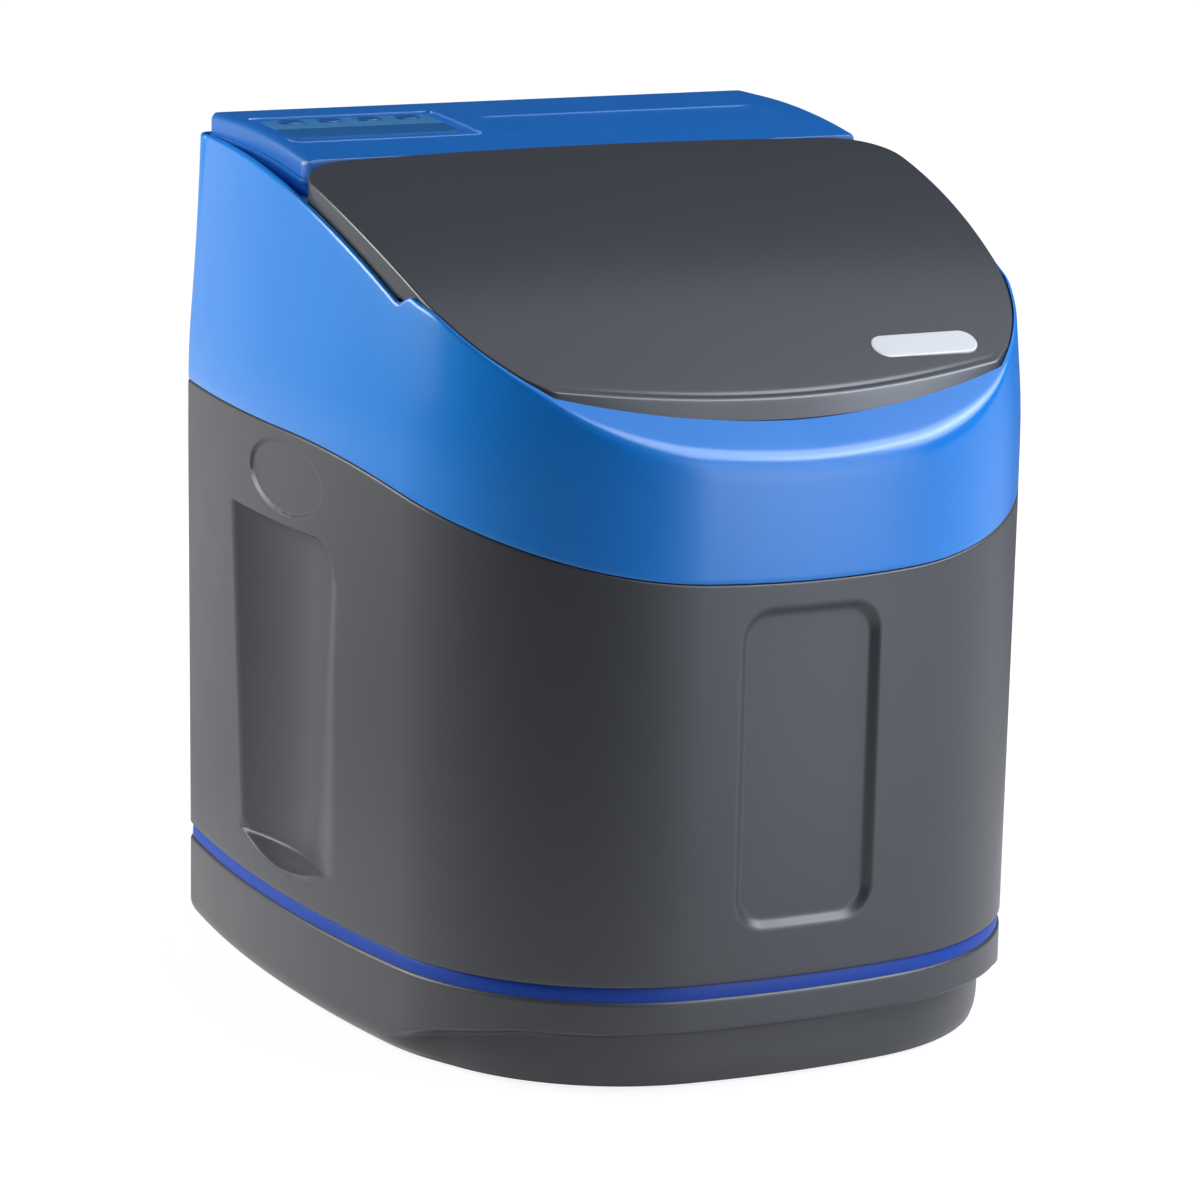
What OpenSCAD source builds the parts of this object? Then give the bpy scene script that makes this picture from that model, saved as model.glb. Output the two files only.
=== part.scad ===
// Cabinet water softener: salt tub, hood, hinged salt lid, resin vessel, control valve and brine float

/* [Body] */
// width across the widest part of the tub
body_w = 414; // [400:1:430]
// depth over the hood and the back
body_d = 444; // [430:1:460]
// bow radius of the sides
side_r = 967; // [850:1:1100]
// distance of the widest part from the back
side_back = 151; // [140:1:170]
// radius of the front corners
corner_r = 149; // [135:1:160]
// bow radius of the front
front_r = 527; // [480:1:600]
// radius of the back corners
back_r = 20; // [14:1:26]
// plastic wall thickness
wall = 3; // [2.5:0.1:3.5]

/* [Base] */
// height of the rubber feet below the base
foot_h = 2; // [1:0.5:3]
// radius of a rubber foot
foot_r = 14; // [10:1:18]
// height of the toe recess at the front
toe_h = 36; // [32:1:40]
// distance of the toe recess's ends from the back
toe_back = 299; // [292:1:306]
// how far the plinth stands back in the toe recess
plinth_inset = 12; // [9:1:14]
// height of the skirt's slanting lower edge
skirt_h = 13; // [10:1:16]
// width of the skirt's slanting lower edge
skirt_w = 9; // [7:1:10]
// top of the base flange
base_top = 55; // [50:1:60]
// thickness of the base floor
base_floor = 5; // [4:0.5:7]
// clearance between the tub's lower part and the base
base_fit = 1; // [0.5:0.1:1.5]

/* [Stripe] */
// height of the blue band
stripe_h = 8; // [6:0.5:10]
// how far the band sits back from the tub's face
stripe_inset = 1.5; // [1:0.1:2.5]
// thickness of the band, front to back
stripe_t = 7.5; // [5:0.5:9]

/* [Tub] */
// radius of the hand-grip scoop
scoop_r = 118; // [105:1:130]
// depth of the hand-grip scoop
scoop_depth = 18; // [14:1:20]
// lean of the scoop, deeper at its top
scoop_lean = 2.7; // [2:0.1:3.2]
// distance of the scoop from the back
scoop_back = 180; // [172:1:186]
// lower ledge of the scoop
scoop_z = 86; // [78:1:95]
// height of the scoop
scoop_h = 192; // [180:1:200]
// width of the front recess
recess_w = 87; // [75:1:95]
// height of the front recess
recess_h = 183; // [170:1:190]
// lower edge of the front recess
recess_z = 92; // [84:1:98]
// corner radius of the front recess
recess_r = 19; // [14:1:24]
// depth of the front recess
recess_depth = 3.5; // [2.5:0.5:4.5]
// half length of the oval knock-out
oval_a = 49; // [42:1:52]
// half height of the oval knock-out
oval_b = 22; // [18:1:24]
// depth of the oval knock-out
oval_depth = 1.5; // [1:0.1:2]

/* [Seam] */
// height of the seam between tub and hood at the back
seam_z = 340; // [334:1:346]
// distance from the back where the seam starts to drop
seam_back = 187; // [178:1:198]
// radius of the dropping seam
seam_r = 663; // [620:1:720]
// gap between hood and tub at the seam
seam_gap = 0.4; // [0.2:0.1:0.8]
// depth of the hood's lip inside the tub
lip_h = 16; // [14:1:20]
// clearance between lip and tub wall
lip_fit = 0.3; // [0.2:0.1:0.6]

/* [Hood] */
// how far the hood stands proud at its front lower edge
hood_proud = 1; // [0.5:0.1:1.5]
// how far the hood leans in at its top
hood_lean = 8.5; // [6:0.5:10]
// how far the hood's back leans in at its top
back_lean = 2; // [1:0.5:3]
// height of the side walls at the back
hood_z = 488; // [486:0.5:490]
// distance from the back where the side walls start to drop
hood_back = 46; // [40:1:54]
// radius of the dropping side walls
hood_r = 600; // [585:1:620]
// distance from the back where the side walls meet the lid's rim
notch_back = 302; // [298:1:306]
// height of the ledge's front edge
ledge_z = 354; // [348:1:360]
// depth of the ledge, front to back
ledge_d = 45; // [42:1:48]
// drop from the lid's face to the deck
deck_drop = 20; // [18:1:24]
// width of the deck beside the salt mouth
mouth_side = 24; // [20:1:32]
// width of the plumbing cut-out in the back
service_w = 196; // [190:1:210]
// height of the plumbing cut-out in the back
service_h = 72; // [66:1:76]

/* [Top] */
// height of the head cover
top_z = 500; // [498:0.5:504]
// distance from the back where the top starts to drop
top_back = 42; // [36:1:50]
// radius of the dropping top
top_r = 645; // [620:1:670]

/* [Lid] */
// distance of the lid's side from the body's side
lid_side = 17; // [16:0.5:19]
// gap between lid and head cover
cover_gap = 6; // [5:0.5:7]
// distance of the lid's lip from the front
lid_lip = 25; // [23:1:27]
// bow radius of the lid's front edge
lid_front_r = 514; // [480:1:540]
// radius of the lid's back corners
lid_corner = 28; // [20:1:32]
// crown of the lid across its width
lid_crown = 3.5; // [2.5:0.5:4]
// lid thickness
lid_t = 2.5; // [2:0.1:3]
// clearance under the lid's rim
lid_gap = 0.6; // [0.4:0.1:1]
// distance of the hinge axis from the lid's back edge
hinge_in = 6; // [5.5:0.5:6.5]
// hinge axis height
hinge_z = 482; // [481:0.5:482.5]
// hinge pin radius
pin_r = 2; // [1.8:0.1:2.4]
// clearance of the pin in the lid's ears
pin_fit = 0.05; // [0.03:0.01:0.1]
// distance of the hinge ears from the middle
ear_x = 70; // [60:1:80]
// width of a hinge ear
ear_w = 8; // [7:0.5:9]
// badge length
badge_l = 67; // [60:1:72]
// badge height
badge_h = 16; // [13:1:18]
// badge thickness
badge_t = 1.6; // [1.2:0.1:2]
// distance of the badge's middle from the lid's side
badge_side = 91.5; // [88:0.5:95]
// distance of the badge's middle from the front
badge_front = 61.5; // [58:0.5:66]

/* [Head cover] */
// distance of the cover's side from the body's side
cover_side = 31; // [29:0.5:34]
// width of the cover's shoulder
shoulder_w = 10; // [8:0.5:11]
// drop from the cover's top to its shoulder
shoulder_drop = 10; // [8:0.5:12]
// depth of the cover, front to back
cover_d = 146; // [144:1:150]
// distance of the cover from the back
cover_behind = 8; // [7:0.5:10]
// corner radius of the cover
cover_corner = 8; // [6:0.5:10]
// gap between the cover's shoulder and the hood's back corners
cover_fit = 5; // [4:0.5:6]
// cover thickness
cover_t = 2.5; // [2:0.1:3]
// display panel: distance from the cover's left side
panel_left = 4; // [3:0.5:8]
// display panel: width
panel_w = 120; // [112:1:126]
// display panel: distance from the cover's front
panel_front = 36; // [32:1:40]
// display panel: depth front to back
panel_d = 76; // [72:1:80]
// how far the display panel is sunk into the cover
panel_sink = 2.6; // [2.4:0.1:3]
// depth of the display panel's bezel
bezel_t = 2; // [1.6:0.1:2.2]
// button spacing
button_pitch = 25; // [23:0.5:26]
// button row: distance from the panel's back edge
button_behind = 16; // [14:1:20]
// half length of a button
button_a = 8; // [7:0.5:9]
// half width of a button
button_b = 5; // [4:0.5:6]
// clearance around a button
button_fit = 0.3; // [0.2:0.05:0.4]
// how far a button stands out
button_out = 1.2; // [1:0.1:1.5]
// travel of a button
button_travel = 1; // [0.8:0.1:1]
// second shallow panel: width
flat_w = 190; // [180:1:194]
// second shallow panel: depth front to back
flat_d = 44; // [38:1:48]
// second shallow panel: how deep it is sunk
flat_t = 1; // [0.6:0.1:1.4]
// distance of the shallow flat from the cover's right side
flat_side = 21; // [17:1:25]
// distance of the shallow flat's middle from the cover's front
flat_ahead = 62; // [58:1:66]

/* [Vessel] */
// gap between the vessel and the tub behind it
vessel_gap = 3; // [2:0.5:6]
// vessel radius
vessel_r = 88; // [80:1:92]
// vessel wall
vessel_t = 4; // [3:0.5:5]
// height of the vessel's shoulder
vessel_h = 318; // [300:1:322]
// rounding of the vessel's ends
vessel_c = 40; // [30:1:50]
// outer radius of the neck
neck_r = 40; // [36:1:44]
// bore radius of the neck
neck_bore = 32; // [30:0.5:33]
// height of the neck above the shoulder
neck_h = 20; // [16:1:22]
// radius of the riser tube
riser_r = 13.35; // [12:0.05:14]
// bore radius of the riser tube
riser_bore = 11; // [10:0.1:11.5]
// height of the resin bed
resin_h = 200; // [160:1:230]
// radius of the lower basket
foot_basket_r = 28; // [25:1:31]
// height of the lower basket
foot_basket_h = 34; // [30:1:40]

/* [Valve] */
// valve body length
valve_l = 150; // [140:1:156]
// valve body depth, front to back
valve_d = 64; // [60:1:68]
// valve body height
valve_h = 60; // [54:1:64]
// bore radius for the seal stack
stack_r = 16; // [15:0.5:17]
// length of the seal stack
stack_l = 110; // [100:1:116]
// piston radius
piston_r = 11; // [10:0.1:12]
// piston length
piston_l = 46; // [40:1:50]
// piston clearance
piston_fit = 0.05; // [0.02:0.01:0.1]
// piston travel
piston_travel = 24; // [20:1:26]
// piston rod radius
rod_r = 6; // [5:0.1:6.5]
// drive screw radius
screw_r = 3; // [2.6:0.1:3.4]
// clearance of the drive screw in the rod
screw_fit = 0.05; // [0.02:0.01:0.1]
// motor radius
motor_r = 22; // [18:1:24]
// motor length
motor_l = 36; // [30:1:38]
// connector radius, three-quarter inch thread
connector_r = 13.2; // [12.5:0.1:13.5]
// connector bore radius
connector_bore = 9.5; // [8:0.1:10]
// distance of the connectors from the middle
connector_x = 38; // [36:1:42]
// drain spigot radius
drain_r = 6.5; // [6:0.1:8]
// drain spigot bore radius
drain_bore = 4.5; // [3.5:0.1:5]
// turbine radius
turbine_r = 10; // [8:0.2:11]
// turbine chamber radius
chamber_r = 12; // [11.6:0.2:13]
// turbine spindle radius
spindle_r = 1.5; // [1.2:0.1:2]
// turbine clearance on its spindle
turbine_fit = 0.06; // [0.03:0.01:0.1]
// blending knob radius
knob_r = 10; // [8:0.5:11]
// blending spindle radius
blend_r = 3; // [2.5:0.1:3.5]
// clearance of the blending spindle
blend_fit = 0.05; // [0.03:0.01:0.1]

/* [Brine] */
// gap between the brine well and the tub beside it
well_gap = 8; // [7:0.5:12]
// distance of the brine well in front of the vessel's middle
well_ahead = 88; // [84:1:92]
// brine well radius
well_r = 42; // [38:1:43]
// brine well wall
well_t = 2.5; // [2:0.1:3]
// top of the brine well
well_top = 316; // [300:1:320]
// brine line radius
line_r = 4.8; // [4:0.1:5.2]
// brine line bore radius
line_bore = 3.2; // [2.5:0.1:3.4]
// float radius
float_r = 13; // [11:0.5:14]
// float height
float_h = 40; // [34:1:46]
// float rod radius
float_rod_r = 2.5; // [2:0.1:3]
// clearance of the float rod in its guides
float_fit = 0.1; // [0.05:0.01:0.1]
// float travel
float_travel = 30; // [20:1:40]
// overflow spigot radius
overflow_r = 9; // [8:0.1:10]
// overflow spigot bore radius
overflow_bore = 7; // [6:0.1:7.4]
// low-voltage socket radius
socket_r = 6; // [5.5:0.1:7]
// low-voltage socket bore radius
socket_bore = 2.8; // [2.6:0.1:3]

/* [Hidden] */
$fn = 64;
front_y = -body_d / 2 + hood_proud;
back_y = body_d / 2;
floor_z = foot_h + base_floor;
tub_z = base_top + stripe_h;
low_inset = plinth_inset + wall + base_fit;
tub_floor = floor_z + wall;
hood_z0 = 289;
hood_z1 = 499;
side_mid = back_y - side_back;
scoop_y = back_y - scoop_back;
seam_flat = back_y - seam_back;
hood_flat = back_y - hood_back;
notch_y = notch_back - back_y;
ledge_y = -front_y - ledge_d;
top_flat = back_y - top_back;
lid_x = body_w / 2 - lid_side;
lid_front = -front_y - lid_lip;
mouth_x = lid_x - mouth_side;
cover_x = body_w / 2 - cover_side;
shoulder_x = cover_x + shoulder_w;
cover_back = back_y - cover_behind;
cover_front = cover_back - cover_d;
lid_back = cover_front - cover_gap;
hinge_y = lid_back - hinge_in;
vessel_y = back_y - low_inset - wall - vessel_gap - vessel_r;
well_x = body_w / 2 - low_inset - wall - well_gap - well_r;
well_y = vessel_y - well_ahead;
side_c = [body_w / 2 - side_r, side_mid];
front_c = [0, front_y + front_r];
corner_c = arcs_meet(front_c, front_r - corner_r, side_c, side_r - corner_r);
roof_drop = 4.5;
deck_flat = lid_back;
deck_z = top(deck_flat) - deck_drop;
neck_top = vessel_h + neck_h;
valve_z = neck_top + 14;
piston_z = valve_z + valve_h / 2;
valve_front = vessel_y - valve_d / 2;
valve_rear = vessel_y + valve_d / 2;
boss_l = 16;
boss_r = 18;
cap_t = 8;
valve_end = valve_l / 2;
rod_tip = valve_end + cap_t + 8;
bracket_x = rod_tip + piston_travel + 4;
bracket_t = 4;
motor_x = bracket_x + bracket_t;
piston_x0 = -stack_l / 2 + 6;
piston_x1 = piston_x0 + piston_l;
chamber_x = -connector_x;
chamber_z = piston_z + stack_r + 3;
valve_top = valve_z + valve_h;
meter_z = valve_top + 8;
line_y = valve_front - 18;
line_z = valve_z + 18;
pick_x = well_x - 14;
pick_y = well_y - 8;
rod_x = well_x + 15;
rod_y = well_y + 12;
air_h = 44;
well_cap_t = 4;
service_z = piston_z + 6;
drain_x = 0;
drain_z = piston_z + 8;
pocket_x = body_w / 2 - 82;
pocket_z = 294;
pocket_w = 60;
pocket_h = 48;
pocket_d = 26;
socket_x = 77 - body_w / 2;
socket_z = 425;
socket_l = 24;
screw_x = body_w / 2 - 57;
screw_z = seam_z - 8;
badge_x = lid_x - badge_side;
badge_y = front_y + badge_front;
panel_cx = -cover_x + panel_left + panel_w / 2;
button_x0 = panel_cx - 1.5 * button_pitch;
panel_cy = cover_front + panel_front + panel_d / 2;
panel_z = top(panel_cy);
panel_tilt = asin((top_flat - panel_cy) / top_r);
window_w = 74;
window_d = 22;
window_t = 1.2;
window_v = -14;
button_v = panel_d / 2 - button_behind;
board_gap = bezel_t + 4.3;
flat_x = cover_x - flat_side - flat_w / 2;
flat_y = cover_front + flat_ahead;

// centre of an arc that touches two larger arcs from inside
function arcs_meet(p, rp, q, rq) =
    let (d = norm(q - p), a = (rp * rp - rq * rq + d * d) / (2 * d), h = sqrt(rp * rp - a * a),
        u = (q - p) / d, m = p + a * u,
        s = [m.x - h * u.y, m.y + h * u.x], t = [m.x + h * u.y, m.y - h * u.x])
    s.x - s.y > t.x - t.y ? s : t;

// points along an arc
function arc(c, r, a0, a1, n) =
    [for (k = [0:n]) let (a = a0 + (a1 - a0) * k / n) [c.x + r * cos(a), c.y + r * sin(a)]];

// all points but the first
function tail(v) = [for (k = [1:len(v) - 1]) v[k]];

// right half of the plan outline from the back to the middle of the front
function half_outline(i, b) =
    let (rb = max(back_r - i, 3), cy = back_y - b - rb,
        cx = side_c.x + sqrt(pow(side_r - i - rb, 2) - pow(cy - side_mid, 2)),
        a_back = atan2(cy - side_c.y, cx - side_c.x),
        a_corner = atan2(corner_c.y - side_c.y, corner_c.x - side_c.x),
        a_front = atan2(corner_c.y - front_c.y, corner_c.x - front_c.x))
    concat(arc([cx, cy], rb, 90, a_back, 5), tail(arc(side_c, side_r - i, a_back, a_corner, 10)),
        tail(arc(corner_c, corner_r - i, a_corner, a_front, 12)),
        tail(arc(front_c, front_r - i, a_front, -90, 6)));

// plan outline, set in by i and at the back by b
function outline(i, b) =
    let (h = half_outline(i, b), n = len(h))
    concat(h, [for (k = [n - 2:-1:0]) [-h[k].x, h[k].y]]);

// height of the seam, the top and the side walls at a place front to back
function drop(y, flat, r) = y > flat ? 0 : r - sqrt(r * r - pow(flat - y, 2));
function seam(y) = seam_z - drop(y, seam_flat, seam_r);
function top(y) = top_z - drop(y, top_flat, top_r);
function wall_top(y) = hood_z - drop(y, hood_flat, hood_r);
function crown(x) = lid_crown * (1 - pow(x / lid_x, 2));
function hood_inset(z) = -hood_proud + (hood_lean + hood_proud) * (z - hood_z0) / (hood_z1 - hood_z0);

// places front to back used for the side profiles
function steps(y0, y1, n) = [for (k = [0:n]) y0 + (y1 - y0) * k / n];
function seam_line(dz) =
    [for (y = concat([260, seam_flat + 40], steps(seam_flat, -240, 14))) [y, seam(y) + dz]];
function hood_line(dz) =
    concat([for (y = concat([260], steps(hood_flat, -notch_y, 14))) [y, wall_top(y) + dz]],
        [[-notch_y - 8, wall_top(-notch_y) - 3 + dz]],
        roof_line(dz));
function roof_line(dz) =
    concat([for (y = steps(-notch_y - 17, -ledge_y, 8)) [y, top(y) - roof_drop + dz]],
        [[front_y - 1, ledge_z + dz], [-260, ledge_z - 30 + dz]]);
function deck_line(dz) =
    concat([[260, deck_z + dz]],
        [for (y = steps(deck_flat, -notch_y - 17, 10)) [y, top(y) - deck_drop + dz]]);
function reverse(v) = [for (k = [len(v) - 1:-1:0]) v[k]];

// rounded rectangle about the middle
function rounded(w, h, r) =
    concat(arc([w / 2 - r, h / 2 - r], r, 0, 90, 6), arc([-w / 2 + r, h / 2 - r], r, 90, 180, 6),
        arc([-w / 2 + r, -h / 2 + r], r, 180, 270, 6), arc([w / 2 - r, -h / 2 + r], r, 270, 360, 6));

// upright solid over the plan outline
module body(i, z0, z1) {
    translate([0, 0, z0])
        linear_extrude(z1 - z0)
            polygon(outline(i, i));
}

// solid over a side profile, front to back and upwards
module side_solid(points, w = 600) {
    rotate([90, 0, 90])
        linear_extrude(w, center = true)
            polygon(points);
}

// leaning solid between two plan outlines
module leaning(i0, b0, z0, i1, b1, z1) {
    a = outline(i0, b0);
    b = outline(i1, b1);
    n = len(a);
    polyhedron(
        points = concat([for (p = a) [p.x, p.y, z0]], [for (p = b) [p.x, p.y, z1]]),
        faces = concat([[for (k = [n - 1:-1:0]) k]], [[for (k = [0:n - 1]) n + k]],
            [for (k = [0:n - 1]) [k, (k + 1) % n, n + (k + 1) % n]],
            [for (k = [0:n - 1]) [k, n + (k + 1) % n, n + k]]));
}

module hood_solid(i) {
    leaning(i + hood_inset(hood_z0 - 20), i, hood_z0 - 20, i + hood_lean, i + back_lean, hood_z1);
}

// solid above or below a side profile
module below(line) {
    side_solid(concat(line, [[-260, -50], [260, -50]]));
}

module above(line) {
    side_solid(concat(line, [[-260, 700], [260, 700]]));
}

// cylinder along the width, the depth or up
module bar_x(r, x0, x1, y, z) {
    translate([x0, y, z])
        rotate([0, 90, 0])
            cylinder(r = r, h = x1 - x0);
}

module bar_y(r, y0, y1, x, z) {
    translate([x, y1, z])
        rotate([90, 0, 0])
            cylinder(r = r, h = y1 - y0);
}

module bar_z(r, z0, z1, x, y) {
    translate([x, y, z0])
        cylinder(r = r, h = z1 - z0);
}

module box(x0, x1, y0, y1, z0, z1) {
    translate([x0, y0, z0])
        cube([x1 - x0, y1 - y0, z1 - z0]);
}

module both_sides() {
    children();
    mirror([1, 0, 0]) children();
}

// base tray: skirt, floor and toe recess
module base_tray() {
    color("DimGray")
        difference() {
            union() {
                body(0, foot_h + skirt_h, base_top);
                leaning(skirt_w, skirt_w, foot_h, 0, 0, foot_h + skirt_h);
            }
            body(plinth_inset + wall, floor_z, base_top + 1);
            toe_recess();
            feet();
        }
}

// arched recess under the front of the skirt
module toe_recess() {
    toe_y = back_y - toe_back;
    toe_run = toe_y - front_y;
    difference() {
        side_solid([[toe_y + 4, -1], [toe_y, 0.3 * toe_h], [toe_y - 0.33 * toe_run, 0.7 * toe_h],
            [toe_y - 0.65 * toe_run, 0.95 * toe_h], [front_y - 30, toe_h], [front_y - 30, -1]]);
        body(plinth_inset, -2, toe_h + 2);
    }
}

module feet() {
    for (s = [-1, 1]) {
        bar_z(foot_r, 0, foot_h + 2, s * (body_w / 2 - 87), back_y - 72);
        bar_z(foot_r, 0, foot_h + 2, s * (body_w / 2 - 102), front_y + 91);
    }
}

module rubber_feet() {
    color("Black") feet();
}

module stripe_band() {
    color("MediumBlue")
        difference() {
            body(stripe_inset, base_top, tub_z);
            body(stripe_inset + stripe_t, base_top - 1, tub_z + 1);
        }
}

// hand-grip scoop on both sides
module scoops(extra) {
    both_sides()
        intersection() {
            translate([-(body_w / 2 + scoop_r - scoop_depth), scoop_y, scoop_z + scoop_h / 2])
                rotate([0, scoop_lean, 0])
                    cylinder(r = scoop_r + extra, h = 2 * scoop_h, center = true);
            box(-300, 0, -200, 200, scoop_z - extra, scoop_z + scoop_h + extra);
        }
}

// front recess between two depths
module recess(extra, d0, d1) {
    intersection() {
        translate([0, front_y + 30, recess_z + recess_h / 2])
            rotate([90, 0, 0])
                linear_extrude(60)
                    polygon(rounded(recess_w + 2 * extra, recess_h + 2 * extra, recess_r + extra));
        difference() {
            body(d0, recess_z - 20, recess_z + recess_h + 20);
            body(d1, recess_z - 21, recess_z + recess_h + 21);
        }
    }
}

// oval knock-outs on both sides
module ovals() {
    both_sides()
        intersection() {
            translate([-body_w / 2 - 5, scoop_y - 4, (scoop_z + scoop_h + seam_z) / 2 + 3])
                rotate([90, 0, 90])
                    linear_extrude(30)
                        polygon([for (a = [0:10:350]) [oval_a * cos(a), oval_b * sin(a)]]);
            difference() {
                body(-1, tub_z, seam_z);
                body(oval_depth, tub_z - 1, seam_z + 1);
            }
        }
}

// pocket in the back for the overflow fitting
module pocket(extra) {
    box(pocket_x - pocket_w / 2 - extra, pocket_x + pocket_w / 2 + extra,
        back_y - pocket_d - extra, back_y + 1,
        pocket_z - pocket_h / 2 - extra, pocket_z + pocket_h / 2 + extra);
}

module cabinet_tub() {
    color("DimGray")
        difference() {
            union() {
                intersection() {
                    body(0, tub_z, seam_z + 5);
                    below(seam_line(0));
                }
                body(low_inset, floor_z, tub_z + 1);
            }
            difference() {
                union() {
                    body(wall, tub_z + wall, seam_z + 10);
                    body(low_inset + wall, tub_floor, tub_z + wall + 1);
                }
                scoops(wall);
                recess(wall, wall - 1, recess_depth + wall);
                pocket(wall);
            }
            scoops(0);
            recess(0, -2, recess_depth);
            ovals();
            pocket(0);
            bar_y(overflow_r, back_y - pocket_d - 20, back_y, pocket_x, pocket_z);
            hood_screws();
            both_sides() bar_y(4, back_y - 2.6, back_y + 1, screw_x, screw_z);
        }
}

// lip of the hood inside the tub, and the ring that carries it
module hood_lip() {
    intersection() {
        difference() {
            body(wall + lip_fit, seam_z - 90, seam_z + 20);
            body(2 * wall + lip_fit, seam_z - 91, seam_z + 21);
            recess(wall + 1, 0, 3 * wall + lip_fit);
        }
        above(seam_line(-lip_h));
        below(seam_line(4));
    }
    intersection() {
        difference() {
            body(1.5, seam_z - 90, seam_z + 20);
            body(2 * wall + lip_fit, seam_z - 91, seam_z + 21);
        }
        above(seam_line(seam_gap));
        below(seam_line(4));
    }
}

// lid outline in plan, set in by i
module lid_plan(i) {
    intersection() {
        polygon(outline(hood_inset(420) - 1.5 + i, 0));
        translate([0, (lid_back - body_d) / 2])
            polygon(rounded(2 * lid_x - 2 * i, body_d + lid_back - 2 * i, lid_corner - i));
        translate([0, -lid_front + lid_front_r])
            circle(r = lid_front_r - i, $fn = 240);
    }
}

module hood() {
    color("RoyalBlue")
        difference() {
            union() {
                difference() {
                    intersection() {
                        hood_solid(0);
                        above(seam_line(seam_gap));
                        below(hood_line(0));
                    }
                    difference() {
                        hood_solid(wall);
                        intersection() {
                            above(roof_line(-wall));
                            box(-300, 300, -260, -notch_y - 14, 200, 500);
                        }
                    }
                }
                hood_lip();
                hood_deck();
                hinge_ears();
            }
            hood_mouth();
            hood_service();
            hood_screws();
            bar_x(pin_r, -ear_x - ear_w - 4, ear_x + ear_w + 4, hinge_y, hinge_z);
        }
}

// deck inside the side walls, with its riser to the front rim
module hood_deck() {
    intersection() {
        hood_solid(wall - 1);
        union() {
            intersection() {
                above(deck_line(-wall));
                below(deck_line(0));
                box(-300, 300, -notch_y - 17, back_y, 300, 500);
            }
            box(-300, 300, -notch_y - 17, -notch_y - 14, top(-notch_y - 17) - deck_drop - wall,
                top(-notch_y - 17) - roof_drop - 1);
        }
    }
}

// ears on the deck that hold the hinge pins
module hinge_ears() {
    both_sides() {
        bar_x(5, ear_x, ear_x + ear_w, hinge_y, hinge_z);
        box(ear_x, ear_x + ear_w, hinge_y - 5, hinge_y + 5, deck_z - 1, hinge_z);
    }
}

// salt mouth in the deck and the front rim
module hood_mouth() {
    intersection() {
        translate([0, 0, 300])
            linear_extrude(250)
                lid_plan(16);
        box(-mouth_x, mouth_x, -260, hinge_y - 14, 250, 600);
    }
    box(26 - cover_x, cover_x - 26, cover_front + 18, cover_back - 14, deck_z - 20, top_z);
}

// plumbing cut-out and socket hole in the back
module hood_service() {
    box(-service_w / 2, service_w / 2, back_y - 20, back_y + 5,
        service_z - service_h / 2, service_z + service_h / 2);
    bar_y(socket_r, back_y - 30, back_y + 5, socket_x, socket_z);
}

module hood_screws() {
    color("Silver")
        both_sides() {
            bar_y(2, back_y - 12, back_y - 2, screw_x, screw_z);
            bar_y(4, back_y - 2.6, back_y - 0.2, screw_x, screw_z);
        }
}

module hinge_pins() {
    color("Silver")
        both_sides()
            bar_x(pin_r, ear_x - ear_w - 1, ear_x + ear_w, hinge_y, hinge_z);
}

// solid under the crowned top of the lid, lowered by i
module lid_dome(i) {
    translate([0, top_flat, top_z - top_r])
        rotate([0, 90, 0])
            rotate_extrude($fn = 180)
                polygon(concat([[0, -lid_x - 10]],
                    [for (x = steps(-lid_x - 10, lid_x + 10, 12)) [top_r - 1 + crown(x) - i, x]],
                    [[0, lid_x + 10]]));
}

function lid_under() =
    concat([[260, deck_z + 2]], [for (y = steps(deck_flat, -40, 8)) [y, top(y) - deck_drop + 2]],
        [for (y = steps(-46, -notch_y, 4)) [y, wall_top(y) + lid_gap]],
        [[-notch_y - 8, wall_top(-notch_y) - 3 + lid_gap]], roof_line(lid_gap));

module lid_shell() {
    intersection() {
        translate([0, 0, 300])
            linear_extrude(250)
                lid_plan(0);
        lid_dome(0);
        above(lid_under());
    }
}

module lid() {
    color("DimGray")
        difference() {
            union() {
                difference() {
                    lid_shell();
                    intersection() {
                        translate([0, 0, 290])
                            linear_extrude(250)
                                lid_plan(lid_t);
                        lid_dome(lid_t);
                    }
                }
                lid_ears();
            }
            lid_slots();
            badge();
            bar_x(pin_r + pin_fit, -ear_x - 1, -ear_x + ear_w + 2, hinge_y, hinge_z);
            bar_x(pin_r + pin_fit, ear_x - ear_w - 2, ear_x + 1, hinge_y, hinge_z);
        }
}

// slots in the lid's back rim for the ears of the hood
module lid_slots() {
    both_sides()
        intersection() {
            box(ear_x - 0.5, ear_x + ear_w + 0.6, hinge_y - 8, lid_back + 1, deck_z, top_z);
            lid_dome(lid_t);
        }
}

// ears under the lid that turn on the hinge pins
module lid_ears() {
    both_sides()
        intersection() {
            union() {
                bar_x(4.5, ear_x - ear_w, ear_x - 0.5, hinge_y, hinge_z);
                box(ear_x - ear_w, ear_x - 0.5, hinge_y - 4.5, hinge_y + 4.5, hinge_z, hinge_z + 20);
            }
            lid_dome(1);
        }
}

module badge() {
    tilt = asin((top_flat - badge_y) / top_r);
    r = top_r - 1 + crown(badge_x);
    color("White")
        translate([badge_x, top_flat - r * sin(tilt), top_z - top_r + r * cos(tilt) - badge_t / 2])
            rotate([tilt, 0, 0])
                linear_extrude(badge_t)
                    union() {
                        square([badge_l - badge_h, badge_h], center = true);
                        translate([(badge_l - badge_h) / 2, 0]) circle(d = badge_h);
                        translate([-(badge_l - badge_h) / 2, 0]) circle(d = badge_h);
                    }
}

// head cover block with shoulder, set in by i
module cover_block(i) {
    intersection() {
        cover_column(cover_x, i);
        below(top_line(-i));
    }
    intersection() {
        cover_column(shoulder_x, i);
        below(top_line(-shoulder_drop - i));
    }
}

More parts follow.
